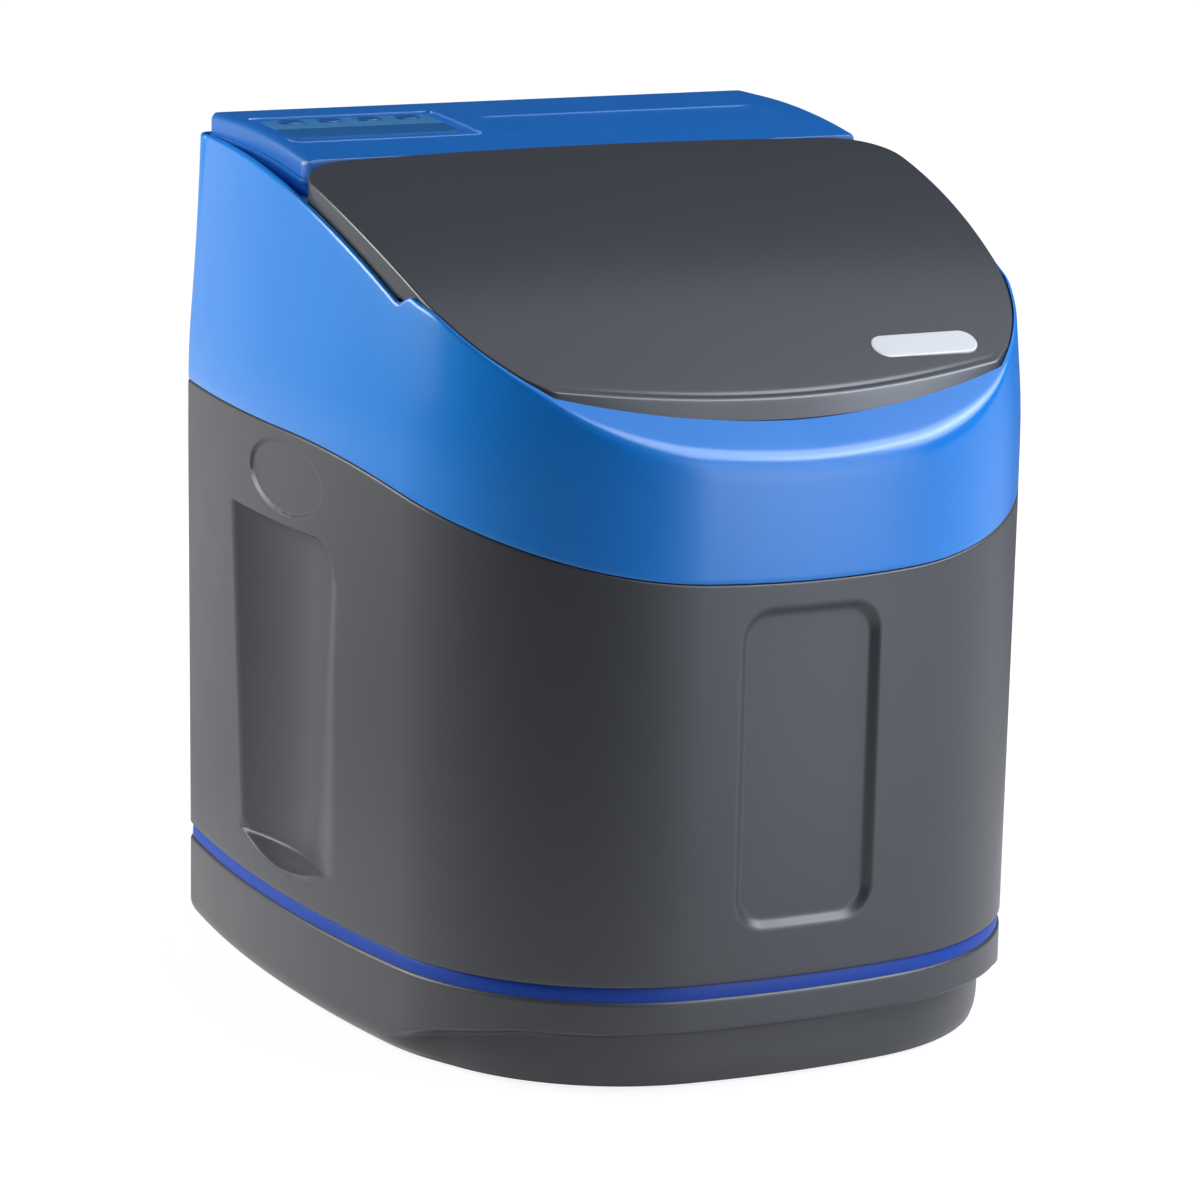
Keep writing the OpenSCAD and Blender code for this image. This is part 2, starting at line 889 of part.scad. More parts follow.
// upright column under the cover, kept clear of the hood's back corners
module cover_column(x, i) {
    translate([0, 0, deck_z - i])
        linear_extrude(60)
            intersection() {
                translate([0, (cover_front + cover_back) / 2])
                    polygon(rounded(2 * (x - i), cover_back - cover_front - 2 * i, cover_corner - i));
                polygon(outline(hood_lean + wall + cover_fit + i, back_y - cover_back + i));
            }
}

function top_line(dz) = [for (y = concat([260], steps(top_flat, 40, 8))) [y, top(y) + dz]];

// parts lying on the display panel's sloping face, height measured from the bezel's face
module on_panel() {
    translate([panel_cx, panel_cy, panel_z - panel_sink])
        rotate([panel_tilt, 0, 0])
            children();
}

module panel_plate(w, d, r, z0, z1) {
    translate([0, 0, z0])
        linear_extrude(z1 - z0)
            polygon(rounded(w, d, r));
}

module head_cover() {
    color("RoyalBlue")
        difference() {
            union() {
                difference() {
                    cover_block(0);
                    cover_block(cover_t);
                }
                on_panel() {
                    panel_plate(panel_w + 4, panel_d + 4, 6, -bezel_t - 3.3, panel_sink - 1.6);
                    for (x = [-48, 48], y = [-30, 6])
                        translate([x, y, -board_gap - 4]) cylinder(r = 3, h = 6);
                }
            }
            on_panel() {
                panel_plate(panel_w, panel_d, 5, -bezel_t, 12);
                translate([0, window_v, 0]) panel_plate(window_w - 6, window_d - 6, 2, -12, 0);
                for (k = [0:3])
                    translate([button_x0 - panel_cx + k * button_pitch, button_v, 0])
                        oval_plate(button_a + 2, button_b + 2, -12, 0);
            }
            intersection() {
                translate([flat_x, flat_y, 400])
                    linear_extrude(200)
                        polygon(rounded(flat_w, flat_d, 6));
                above(top_line(-flat_t));
            }
        }
}

module oval_plate(a, b, z0, z1) {
    translate([0, 0, z0])
        linear_extrude(z1 - z0)
            polygon([for (t = [0:15:345]) [a * cos(t), b * sin(t)]]);
}

module display_bezel() {
    color("Teal")
        on_panel()
            difference() {
                panel_plate(panel_w, panel_d, 5, -bezel_t, 0);
                translate([0, window_v, 0]) panel_plate(window_w, window_d, 2, -window_t, 1);
                for (k = [0:3])
                    translate([button_x0 - panel_cx + k * button_pitch, button_v, 0])
                        oval_plate(button_a + button_fit, button_b + button_fit, -8, 1);
            }
}

module display_window() {
    color("Black")
        on_panel()
            translate([0, window_v, 0])
                panel_plate(window_w, window_d, 2, -window_t, 0);
}

// one button of the row, with its stem
module button(k) {
    color("SteelBlue")
        on_panel()
            translate([button_x0 - panel_cx + k * button_pitch, button_v, 0]) {
                oval_plate(button_a, button_b, -bezel_t - 0.5, button_out);
                oval_plate(button_a + 1.2, button_b + 1.2, -bezel_t - 1.2, -bezel_t - 0.1);
                translate([0, 0, -board_gap + button_travel + 0.3])
                    cylinder(r = 2, h = board_gap - bezel_t - button_travel - 0.5);
            }
}

module button_menu() {
    button(0);
}

module button_down() {
    button(1);
}

module button_up() {
    button(2);
}

module button_enter() {
    button(3);
}

module circuit_board() {
    color("DarkGreen")
        on_panel()
            difference() {
                translate([0, -4, -board_gap - 1.6])
                    linear_extrude(1.6)
                        square([108, 64], center = true);
                for (x = [-48, 48], y = [-30, 6])
                    translate([x, y, -board_gap - 5]) cylinder(r = 3, h = 8);
            }
}

module power_socket() {
    color("Black")
        difference() {
            union() {
                bar_y(socket_r, back_y - socket_l, back_y - 1.5, socket_x, socket_z);
                bar_y(socket_r + 2.5, back_y - socket_l, back_y - socket_l + 8, socket_x, socket_z);
            }
            difference() {
                bar_y(socket_bore, back_y - socket_l + 8, back_y, socket_x, socket_z);
                bar_y(1, back_y - socket_l + 7, back_y - 4, socket_x, socket_z);
            }
        }
}

module overflow_fitting() {
    face = back_y - pocket_d;
    color("Gainsboro")
        difference() {
            union() {
                bar_y(overflow_r, face - wall - 16, back_y - 1, pocket_x, pocket_z);
                bar_y(overflow_r + 5, face, face + 4, pocket_x, pocket_z);
                bar_y(overflow_r + 5, face - wall - 10, face - wall, pocket_x, pocket_z);
            }
            bar_y(overflow_bore, face - wall - 17, back_y, pocket_x, pocket_z);
        }
}

// vessel profile, set in by i
function vessel_half(i) =
    concat([[0, tub_floor + i]],
        arc([vessel_r - vessel_c, tub_floor + vessel_c], vessel_c - i, -90, 0, 6),
        arc([vessel_r - vessel_c, vessel_h - vessel_c], vessel_c - i, 0, 90, 6), [[0, vessel_h - i]]);

module at_vessel() {
    translate([0, vessel_y, 0]) children();
}

module resin_vessel() {
    color("LightGray")
        at_vessel()
            difference() {
                union() {
                    rotate_extrude() polygon(vessel_half(0));
                    bar_z(neck_r, vessel_h - 8, neck_top, 0, 0);
                }
                rotate_extrude() polygon(vessel_half(vessel_t));
                bar_z(neck_bore, vessel_h - 20, neck_top + 1, 0, 0);
            }
}

module neck_seal() {
    color("Black")
        at_vessel()
            difference() {
                bar_z(neck_r, neck_top, valve_z, 0, 0);
                bar_z(neck_bore, neck_top - 1, valve_z + 1, 0, 0);
            }
}

module riser_tube() {
    color("WhiteSmoke")
        at_vessel()
            difference() {
                bar_z(riser_r, tub_floor + vessel_t + 34, valve_z + 6, 0, 0);
                bar_z(riser_bore, tub_floor, valve_z + 7, 0, 0);
            }
}

// slotted basket around the riser tube
module basket(r, z0, z1, bore) {
    at_vessel()
        difference() {
            bar_z(r, z0, z1, 0, 0);
            if (bore > 0)
                bar_z(bore, z0 - 1, z1 + 1, 0, 0);
            for (z = [z0 + 5:5:z1 - 5])
                difference() {
                    bar_z(r + 1, z, z + 1, 0, 0);
                    bar_z(r - 4, z - 1, z + 2, 0, 0);
                }
        }
}

module upper_basket() {
    color("WhiteSmoke") basket(neck_bore - 4, vessel_h - 10, valve_z, riser_r);
}

module lower_basket() {
    color("WhiteSmoke") basket(foot_basket_r, tub_floor + vessel_t, tub_floor + vessel_t + foot_basket_h, 0);
}

module resin_bed() {
    color("Peru")
        at_vessel()
            difference() {
                intersection() {
                    rotate_extrude() polygon(vessel_half(vessel_t));
                    bar_z(vessel_r, tub_floor, tub_floor + resin_h, 0, 0);
                }
                bar_z(riser_r, tub_floor, tub_floor + resin_h + 1, 0, 0);
                bar_z(foot_basket_r, tub_floor, tub_floor + vessel_t + foot_basket_h, 0, 0);
            }
}

module valve_body() {
    color("DarkSlateGray")
        difference() {
            union() {
                box(-valve_end, valve_end, valve_front, valve_rear, valve_z, valve_top);
                for (x = [-connector_x, connector_x])
                    bar_y(boss_r, valve_rear - 5, valve_rear + boss_l, x, piston_z);
                bar_z(chamber_r + 4, valve_top - 2, meter_z, chamber_x, vessel_y);
            }
            bar_x(stack_r, -stack_l / 2, valve_end + 1, vessel_y, piston_z);
            for (x = [-connector_x, connector_x])
                bar_y(connector_bore, vessel_y, valve_rear + boss_l + 1, x, piston_z);
            bar_z(chamber_r, chamber_z, meter_z + 1, chamber_x, vessel_y);
            bar_z(riser_r, valve_z - 1, valve_z + 6, 0, vessel_y);
            bar_z(riser_bore, valve_z, piston_z, 0, vessel_y);
            bar_y(5, valve_front - 1, valve_front + 12, -connector_x, piston_z + 6);
            bar_y(3.5, valve_front - 1, valve_front + 15, 0, line_z);
            bar_y(blend_r + blend_fit, valve_front - 1, valve_front + 12, connector_x, piston_z + 6);
            bar_y(drain_bore, vessel_y + stack_r / 2, valve_rear + 1, drain_x, drain_z);
        }
}

module seal_stack() {
    color("Black")
        difference() {
            bar_x(stack_r, -stack_l / 2, stack_l / 2, vessel_y, piston_z);
            bar_x(piston_r + piston_fit, -stack_l / 2 - 1, stack_l / 2 + 1, vessel_y, piston_z);
        }
}

module piston() {
    color("Goldenrod")
        difference() {
            bar_x(piston_r, piston_x0, piston_x1, vessel_y, piston_z);
            for (k = [1:3])
                difference() {
                    bar_x(piston_r + 1, piston_x0 + k * piston_l / 4 - 3, piston_x0 + k * piston_l / 4 + 3,
                        vessel_y, piston_z);
                    bar_x(piston_r - 3, piston_x0, piston_x1, vessel_y, piston_z);
                }
        }
}

module piston_rod() {
    color("Silver")
        difference() {
            bar_x(rod_r, piston_x1, rod_tip, vessel_y, piston_z);
            bar_x(screw_r + screw_fit, piston_x1 + 4, rod_tip + 1, vessel_y, piston_z);
        }
}

module valve_end_cap() {
    color("Black")
        difference() {
            union() {
                bar_x(stack_r + 8, valve_end, valve_end + cap_t, vessel_y, piston_z);
                bar_x(stack_r, stack_l / 2, valve_end + 1, vessel_y, piston_z);
            }
            bar_x(rod_r + piston_fit, stack_l / 2 - 1, valve_end + cap_t + 1, vessel_y, piston_z);
        }
}

module drive_screw() {
    color("Silver") {
        bar_x(screw_r, piston_x1 + piston_travel + 8, motor_x - 0.2, vessel_y, piston_z);
        bar_x(screw_r + 2.5, rod_tip + piston_travel + 1, bracket_x - 0.3, vessel_y, piston_z);
    }
}

module motor_bracket() {
    color("Gray")
        difference() {
            union() {
                box(bracket_x, motor_x, vessel_y - 30, vessel_y + 30, piston_z - 26, piston_z + 26);
                for (y = [-30, 26])
                    box(valve_end, bracket_x + 1, vessel_y + y, vessel_y + y + 4,
                        piston_z - 12, piston_z + 12);
            }
            bar_x(screw_r + screw_fit, bracket_x - 1, motor_x + 1, vessel_y, piston_z);
        }
}

module drive_motor() {
    color("DarkGray") {
        bar_x(motor_r, motor_x, motor_x + motor_l, vessel_y, piston_z);
        bar_x(motor_r - 8, motor_x + motor_l - 1, motor_x + motor_l + 5, vessel_y, piston_z);
    }
}

module injector() {
    color("White")
        difference() {
            bar_y(5, valve_front, valve_front + 12, -connector_x, piston_z + 6);
            bar_y(1.2, valve_front - 1, valve_front + 13, -connector_x, piston_z + 6);
        }
}

module injector_cap() {
    color("Black")
        difference() {
            bar_y(13, valve_front - 8, valve_front, -connector_x, piston_z + 6);
            for (a = [0:60:300])
                translate([-connector_x + 11 * cos(a), valve_front - 9, piston_z + 6 + 11 * sin(a)])
                    rotate([-90, 0, 0]) cylinder(r = 1, h = 6);
        }
}

module blend_knob() {
    color("SteelBlue") {
        bar_y(blend_r, valve_front - 2, valve_front + 10, connector_x, piston_z + 6);
        difference() {
            bar_y(knob_r, valve_front - 12, valve_front - 1, connector_x, piston_z + 6);
            for (a = [0:45:315])
                translate([connector_x + (knob_r + 0.6) * cos(a), valve_front - 13,
                    piston_z + 6 + (knob_r + 0.6) * sin(a)])
                    rotate([-90, 0, 0]) cylinder(r = 2, h = 9);
            box(connector_x - 1, connector_x + 1, valve_front - 13, valve_front - 10,
                piston_z + 6, piston_z + 6 + knob_r);
        }
    }
}

module brine_elbow() {
    color("WhiteSmoke")
        difference() {
            union() {
                bar_y(7, line_y, valve_front, 0, line_z);
                translate([0, line_y, line_z]) sphere(r = 7);
                bar_x(7, 0, 16, line_y, line_z);
            }
            bar_y(3.2, line_y, valve_front + 1, 0, line_z);
            bar_x(3.2, 0, 9, line_y, line_z);
            bar_x(line_r, 8, 17, line_y, line_z);
        }
}

// run of the brine line with radius r
module line_run(r) {
    bar_x(r, 8, pick_x, line_y, line_z);
    translate([pick_x, line_y, line_z]) sphere(r = r);
    bar_y(r, pick_y, line_y, pick_x, line_z);
    translate([pick_x, pick_y, line_z]) sphere(r = r);
    bar_z(r, tub_floor + air_h - 10, line_z, pick_x, pick_y);
}

module brine_line() {
    color("WhiteSmoke")
        difference() {
            line_run(line_r);
            line_run(line_bore);
            bar_x(line_bore, 7, 20, line_y, line_z);
            bar_z(line_bore, tub_floor + air_h - 11, tub_floor + air_h + 10, pick_x, pick_y);
        }
}

module drain_spigot() {
    color("White")
        difference() {
            union() {
                bar_y(drain_r, valve_rear, back_y - 1, drain_x, drain_z);
                bar_y(drain_r + 3, valve_rear, valve_rear + 6, drain_x, drain_z);
            }
            bar_y(drain_bore, valve_rear - 1, back_y, drain_x, drain_z);
        }
}

// threaded connector at one side of the valve
module connector(x) {
    difference() {
        union() {
            bar_y(connector_r, valve_rear + boss_l, back_y - 1, x, piston_z);
            bar_y(boss_r, valve_rear + boss_l, valve_rear + boss_l + 12, x, piston_z);
        }
        bar_y(connector_bore, valve_rear + boss_l - 1, back_y, x, piston_z);
    }
}

module inlet_connector() {
    color("White") connector(-connector_x);
}

module outlet_connector() {
    color("White") connector(connector_x);
}

module meter_turbine() {
    color("SteelBlue")
        difference() {
            union() {
                bar_z(3.4, chamber_z + 2, meter_z - 4, chamber_x, vessel_y);
                for (a = [0:60:300])
                    translate([chamber_x, vessel_y, chamber_z + 3])
                        rotate([0, 0, a])
                            translate([2, -0.6, 0]) cube([turbine_r - 2.2, 1.2, meter_z - chamber_z - 9]);
            }
            bar_z(spindle_r + turbine_fit, chamber_z, meter_z, chamber_x, vessel_y);
        }
}

module meter_cover() {
    color("Black") {
        bar_z(chamber_r + 4, meter_z, meter_z + 8, chamber_x, vessel_y);
        bar_z(spindle_r, chamber_z, meter_z + 1, chamber_x, vessel_y);
    }
}

module brine_well() {
    color("Gainsboro")
        difference() {
            bar_z(well_r, tub_floor, well_top, well_x, well_y);
            bar_z(well_r - well_t, tub_floor - 1, well_top + 1, well_x, well_y);
            for (a = [150, 210, 270])
                translate([well_x, well_y, tub_floor + 72])
                    rotate([0, 0, a])
                        rotate([0, 90, 0]) cylinder(r = 4, h = well_r + 5);
        }
}

module well_cap() {
    color("Black")
        difference() {
            union() {
                bar_z(well_r + 3, well_top, well_top + well_cap_t, well_x, well_y);
                bar_z(well_r - well_t, well_top - 8, well_top + 1, well_x, well_y);
            }
            bar_z(well_r - well_t - 3, well_top - 9, well_top, well_x, well_y);
            bar_z(line_r, well_top - 1, well_top + well_cap_t + 1, pick_x, pick_y);
            bar_z(float_rod_r + float_fit, well_top - 1, well_top + well_cap_t + 1, rod_x, rod_y);
        }
}

module air_check() {
    color("WhiteSmoke")
        difference() {
            union() {
                bar_z(12, tub_floor, tub_floor + air_h, pick_x, pick_y);
                guide_arm();
            }
            bar_z(line_r, tub_floor + air_h - 10, tub_floor + air_h + 1, pick_x, pick_y);
            bar_z(line_bore, tub_floor + 6, tub_floor + air_h, pick_x, pick_y);
            bar_z(float_rod_r + float_fit, tub_floor + 10, tub_floor + 60, rod_x, rod_y);
            for (a = [0, 90])
                translate([pick_x, pick_y, tub_floor + 10])
                    rotate([0, 0, a + 20]) cube([40, 4, 6], center = true);
        }
}

// arm of the air check that guides the float rod
module guide_arm() {
    reach = norm([rod_x - pick_x, rod_y - pick_y]);
    translate([pick_x, pick_y, tub_floor + 23])
        rotate([0, 0, atan2(rod_y - pick_y, rod_x - pick_x)])
            translate([8, -5, 0]) cube([reach - 12, 10, 6]);
    bar_z(7, tub_floor + 22, tub_floor + 30, rod_x, rod_y);
}

module float_rod() {
    color("Silver")
        bar_z(float_rod_r, tub_floor + 16, well_top + well_cap_t + 10, rod_x, rod_y);
}

module float() {
    color("White")
        difference() {
            bar_z(float_r, tub_floor + 90, tub_floor + 90 + float_h, rod_x, rod_y);
            bar_z(float_rod_r, tub_floor + 80, tub_floor + 100 + float_h, rod_x, rod_y);
        }
}

module salt_grid() {
    color("Gainsboro")
        difference() {
            intersection() {
                body(wall + 4, tub_z + wall, tub_z + wall + 4);
                box(-300, 300, -300, vessel_y - vessel_r - 6, 0, 500);
            }
            bar_z(well_r + 2, 0, 200, well_x, well_y);
            scoops(wall + 4);
            for (x = [-120:40:80], y = [-160:40:-40])
                bar_z(6, tub_z, tub_z + 20, x, y);
        }
}

base_tray();
rubber_feet();
stripe_band();
cabinet_tub();
hood();
hood_screws();
hinge_pins();
lid();
badge();
head_cover();
display_bezel();
display_window();
circuit_board();
button_menu();
button_down();
button_up();
button_enter();
power_socket();
overflow_fitting();
resin_vessel();
neck_seal();
riser_tube();
upper_basket();
lower_basket();
resin_bed();
valve_body();
seal_stack();
piston();
piston_rod();
valve_end_cap();
drive_screw();
motor_bracket();
drive_motor();
injector();
injector_cap();
blend_knob();
brine_elbow();
brine_line();
drain_spigot();
inlet_connector();
outlet_connector();
meter_turbine();
meter_cover();
brine_well();
well_cap();
air_check();
float_rod();
float();
salt_grid();
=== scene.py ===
"""Cabinet water softener: finished surfaces, materials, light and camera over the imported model.

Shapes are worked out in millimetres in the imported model's frame: +Z up, the front towards -Y.
"""
import math

import bmesh
import bpy
import numpy as np
from mathutils import Matrix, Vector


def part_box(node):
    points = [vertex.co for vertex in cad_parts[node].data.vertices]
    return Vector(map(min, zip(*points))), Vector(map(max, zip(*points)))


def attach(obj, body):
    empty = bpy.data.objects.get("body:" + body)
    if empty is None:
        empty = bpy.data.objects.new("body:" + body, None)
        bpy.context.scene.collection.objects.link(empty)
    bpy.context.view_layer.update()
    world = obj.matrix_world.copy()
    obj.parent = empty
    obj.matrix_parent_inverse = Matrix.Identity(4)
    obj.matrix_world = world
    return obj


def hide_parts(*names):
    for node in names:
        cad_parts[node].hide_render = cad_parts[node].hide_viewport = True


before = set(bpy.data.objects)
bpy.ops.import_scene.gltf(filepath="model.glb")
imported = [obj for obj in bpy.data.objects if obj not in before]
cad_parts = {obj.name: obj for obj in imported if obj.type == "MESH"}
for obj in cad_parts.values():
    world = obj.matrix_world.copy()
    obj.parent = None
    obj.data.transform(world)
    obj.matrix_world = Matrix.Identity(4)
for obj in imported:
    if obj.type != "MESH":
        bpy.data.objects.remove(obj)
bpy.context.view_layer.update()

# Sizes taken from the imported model, in millimetres
MM = 0.001


def node_box(node):
    """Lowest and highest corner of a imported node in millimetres."""
    low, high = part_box(node)
    return np.array(low) / MM, np.array(high) / MM


TUB_LOW, TUB_HIGH = node_box("cabinet_tub")
BASE_LOW, BASE_HIGH = node_box("base_tray")
LID_HIGH = node_box("lid")[1]
COVER_LOW, COVER_HIGH = node_box("head_cover")
BACK_Y = TUB_HIGH[1]
FRONT_Y = TUB_LOW[1]
HALF_W = TUB_HIGH[0]
SEAM_Z = TUB_HIGH[2]
FOOT_Z = BASE_LOW[2]
BASE_TOP = BASE_HIGH[2]
TUB_Z = BASE_TOP + 8
TUB_FLOOR = TUB_LOW[2]
TOP_Z = COVER_HIGH[2]
WALL = 3.0

# Plan outline: four arcs and a straight back
SIDE_R = 967.0
SIDE_MID = BACK_Y - 151
FRONT_R = 527.0
CORNER_R = 149.0
BACK_R = 20.0

# Side profiles: each is level behind its flat and falls away on an arc in front of it
SEAM_FLAT, SEAM_R = BACK_Y - 187, 663.0
TOP_FLAT, TOP_R = BACK_Y - 42, 645.0
HOOD_Z, HOOD_FLAT, HOOD_R = 488.0, BACK_Y - 46, 600.0
NOTCH_Y = -80.0
ROOF_DROP = 4.5
DECK_DROP = 20.0
LEDGE_Y = FRONT_Y + 45
LEDGE_Z = 354.0

# Lid plan and hinge
LID_X = 190.0
LID_BACK = LID_HIGH[1]
LID_EDGE = LID_BACK + 3
LID_FRONT_Y, LID_FRONT_R = FRONT_Y + 25, 514.0
LID_CROWN = 3.5
LID_T = 2.5
HINGE_Y, HINGE_Z = LID_BACK - 6, 482.0
EAR_X, EAR_W = 70.0, 8.0

# Head cover and the panels on it
COVER_X = 181.0
COVER_WALL_H = 11.0
COVER_FRONT, COVER_BACK = COVER_LOW[1], COVER_HIGH[1]
COVER_T = 2.5
PANEL = np.array([-112.0, COVER_FRONT + 74])
PANEL_W, PANEL_D = 120.0, 76.0
PANEL_SINK = 1.7
BEZEL_T = 2.0


# Curves and blends used by several pieces

def drop(y, flat, radius):
    """How far an arc profile has fallen at a place front to back."""
    back = np.maximum(flat - y, 0)
    return radius - np.sqrt(np.maximum(radius ** 2 - back ** 2, 1))


def seam(y):
    return SEAM_Z - drop(y, SEAM_FLAT, SEAM_R)


def top(y):
    return TOP_Z - drop(y, TOP_FLAT, TOP_R)


def wall_top(y):
    return HOOD_Z - drop(y, HOOD_FLAT, HOOD_R)


def roof(y):
    """Front ledge of the hood: under the top line, then a straight slope to the front edge."""
    ledge_top = top(LEDGE_Y) - ROOF_DROP
    slope = (ledge_top - LEDGE_Z) / (LEDGE_Y - FRONT_Y + 1)
    return np.where(y > LEDGE_Y, top(y) - ROOF_DROP, ledge_top - slope * (LEDGE_Y - y))


def deck(y):
    return top(np.minimum(y, LID_BACK)) - DECK_DROP


def side_inset(z):
    """How far the hood's side stands in from the plan outline: upright at first, then leaning."""
    lean, start, blend = 0.088, 342.0, 40.0
    over = np.maximum(z - start, 0)
    curved = lean * np.minimum(over, blend) ** 2 / (2 * blend)
    return 0.05 + curved + lean * np.maximum(over - blend, 0)


def back_inset(z):
    return 2.0 * (z - 269) / 230


def smoothstep(t):
    t = np.clip(t, 0, 1)
    return t * t * (3 - 2 * t)


def smooth_min(a, b, k):
    h = np.clip(0.5 + 0.5 * (b - a) / k, 0, 1)
    return b + (a - b) * h - k * h * (1 - h)


def rounded_box_distance(u, v, half_u, half_v, radius):
    """Distance outside a rounded rectangle about the origin, negative inside."""
    qu = np.abs(u) - half_u + radius
    qv = np.abs(v) - half_v + radius
    outside = np.hypot(np.maximum(qu, 0), np.maximum(qv, 0))
    return outside + np.minimum(np.maximum(qu, qv), 0) - radius


# Plan outline of the cabinet

def arcs_meet():
    """Centre of the front corner arc, which touches the front and side arcs from inside."""
    front = np.array([0, FRONT_Y + FRONT_R])
    side = np.array([HALF_W - SIDE_R, SIDE_MID])
    front_reach = FRONT_R - CORNER_R
    side_reach = SIDE_R - CORNER_R
    apart = np.linalg.norm(side - front)
    along = (front_reach ** 2 - side_reach ** 2 + apart ** 2) / (2 * apart)
    across = math.sqrt(front_reach ** 2 - along ** 2)
    unit = (side - front) / apart
    meet = front + along * unit
    return meet + across * np.array([-unit[1], unit[0]])


def dense_arc(centre, radius, start, end):
    """Closely spaced places and outward normals along an arc."""
    count = max(int(abs(end - start) * radius / 0.2), 2)
    angles = np.linspace(start, end, count)
    normals = np.stack([np.cos(angles), np.sin(angles)], 1)
    return np.array(centre) + radius * normals, normals


def half_outline():
    """Places and normals of the right half of the plan, from the back round to the front."""
    side = np.array([HALF_W - SIDE_R, SIDE_MID])
    front = np.array([0, FRONT_Y + FRONT_R])
    corner = arcs_meet()
    back_cy = BACK_Y - BACK_R
    back_cx = side[0] + math.sqrt((SIDE_R - BACK_R) ** 2 - (back_cy - SIDE_MID) ** 2)
    line_x = np.linspace(0, back_cx, int(back_cx / 0.2))
    line = np.stack([line_x, np.full_like(line_x, BACK_Y)], 1)
    line_normals = np.tile([0.0, 1.0], (len(line_x), 1))
    back_turn = math.atan2(back_cy - side[1], back_cx - side[0])
    corner_turn = math.atan2(corner[1] - side[1], corner[0] - side[0])
    front_turn = math.atan2(corner[1] - front[1], corner[0] - front[0])
    stretches = [
        (line, line_normals),
        dense_arc((back_cx, back_cy), BACK_R, math.pi / 2, back_turn),
        dense_arc(side, SIDE_R, back_turn, corner_turn),
        dense_arc(corner, CORNER_R, corner_turn, front_turn),
        dense_arc(front, FRONT_R, front_turn, -math.pi / 2),
    ]
    places = np.concatenate([p for p, n in stretches])
    normals = np.concatenate([n for p, n in stretches])
    return places, normals


def outline(spacing):
    """Columns round the whole plan; spacing gives the wanted distance between them at each place."""
    places, normals = half_outline()
    step = np.linalg.norm(np.diff(places, axis=0), axis=1)
    wanted = spacing(places[:, 0], places[:, 1])
    count = np.concatenate([[0], np.cumsum(step / (0.5 * (wanted[1:] + wanted[:-1])))])
    at = np.linspace(0, count[-1], int(count[-1]) + 1)
    half = [np.interp(at, count, v) for v in (places[:, 0], places[:, 1], normals[:, 0], normals[:, 1])]
    half = np.stack(half, 1)
    half[:, 2:] /= np.linalg.norm(half[:, 2:], axis=1)[:, None]
    other = half[-2:0:-1] * np.array([-1, 1, -1, 1])
    return np.concatenate([half, other]).T


def draft(z):
    """Moulding draft: the lower body stands in a little towards the floor."""
    return 1.6 * np.clip((300 - z) / 240, 0, 1)


def at_inset(columns, inset, z):
    """Points at an inset from the drafted outline and a height, for one row of columns."""
    x, y, nx, ny = columns
    inset = inset + draft(z)
    return np.stack([x - nx * inset, y - ny * inset, np.broadcast_to(z, x.shape)], -1)


# Mesh building

def mesh_object(name, points, faces):
    """A mesh object from points in millimetres."""
    mesh = bpy.data.meshes.new(name)
    mesh.from_pydata((np.asarray(points) * MM).tolist(), [], faces)
    mesh.validate()
    obj = bpy.data.objects.new(name, mesh)
    bpy.context.collection.objects.link(obj)
    return obj


def loop_faces(rows, columns, closed):
    """Quads between rows of a closed loop of columns; closed joins the last row to the first."""
    index = np.arange(rows * columns).reshape(rows, columns)
    upper = np.roll(index, -1, axis=0) if closed else index[1:]
    lower = index if closed else index[:-1]
    quads = np.stack([lower, upper, np.roll(upper, -1, axis=1), np.roll(lower, -1, axis=1)], -1)
    return quads.reshape(-1, 4).tolist()


def ring_object(name, rows):
    """A closed ring: every column is a closed profile."""
    rows = np.stack(rows)
    faces = loop_faces(rows.shape[0], rows.shape[1], True)
    return mesh_object(name, rows.reshape(-1, 3), faces)


def capped_object(name, rows):
    """A closed skin over stacked loops, with a flat face on the first and the last loop."""
    rows = np.stack(rows)
    count, columns = rows.shape[:2]
    faces = loop_faces(count, columns, False)
    faces.append(list(range(columns)))
    faces.append(list(range(count * columns - 1, (count - 1) * columns - 1, -1)))
    return mesh_object(name, rows.reshape(-1, 3), faces)


def box_object(name, low, high):
    """A block used to cut or fill other pieces."""
    corners = [[x, y, z] for x in (low[0], high[0]) for y in (low[1], high[1]) for z in (low[2], high[2])]
    faces = [[0, 1, 3, 2], [4, 6, 7, 5], [0, 4, 5, 1], [2, 3, 7, 6], [0, 2, 6, 4], [1, 5, 7, 3]]
    return mesh_object(name, corners, faces)


def bar_object(name, radius, start, end, sides=40):
    """A round bar between two points, used to cut other pieces."""
    start, end = np.array(start, float), np.array(end, float)
    axis = (end - start) / np.linalg.norm(end - start)
    side = np.cross(axis, [0.3, 0.5, 0.8])
    side /= np.linalg.norm(side)
    other = np.cross(axis, side)
    turn = np.linspace(0, 2 * math.pi, sides, endpoint=False)[:, None]
    ring = radius * (np.cos(turn) * side + np.sin(turn) * other)
    return capped_object(name, [start + ring, end + ring])


def face_outwards(obj):
    """Makes every face of closed shells look outwards."""
    work = bmesh.new()
    work.from_mesh(obj.data)
    bmesh.ops.recalc_face_normals(work, faces=work.faces)
    work.to_mesh(obj.data)
    work.free()


def combine(obj, operation, others):
    """Cuts other closed pieces from obj, or adds them to it, and removes them."""
    face_outwards(obj)
    for other in others:
        face_outwards(other)
        change = obj.modifiers.new("change", "BOOLEAN")
        change.operation = operation
        change.solver = "MANIFOLD"
        change.object = other
        bpy.context.view_layer.objects.active = obj
        bpy.ops.object.modifier_apply(modifier=change.name)
        bpy.data.objects.remove(other)


def join(obj, others):
    """Puts other pieces into obj's mesh as loose shells."""
    work = bmesh.new()
    work.from_mesh(obj.data)
    for other in others:
        work.from_mesh(other.data)
        bpy.data.objects.remove(other)
    work.to_mesh(obj.data)
    work.free()


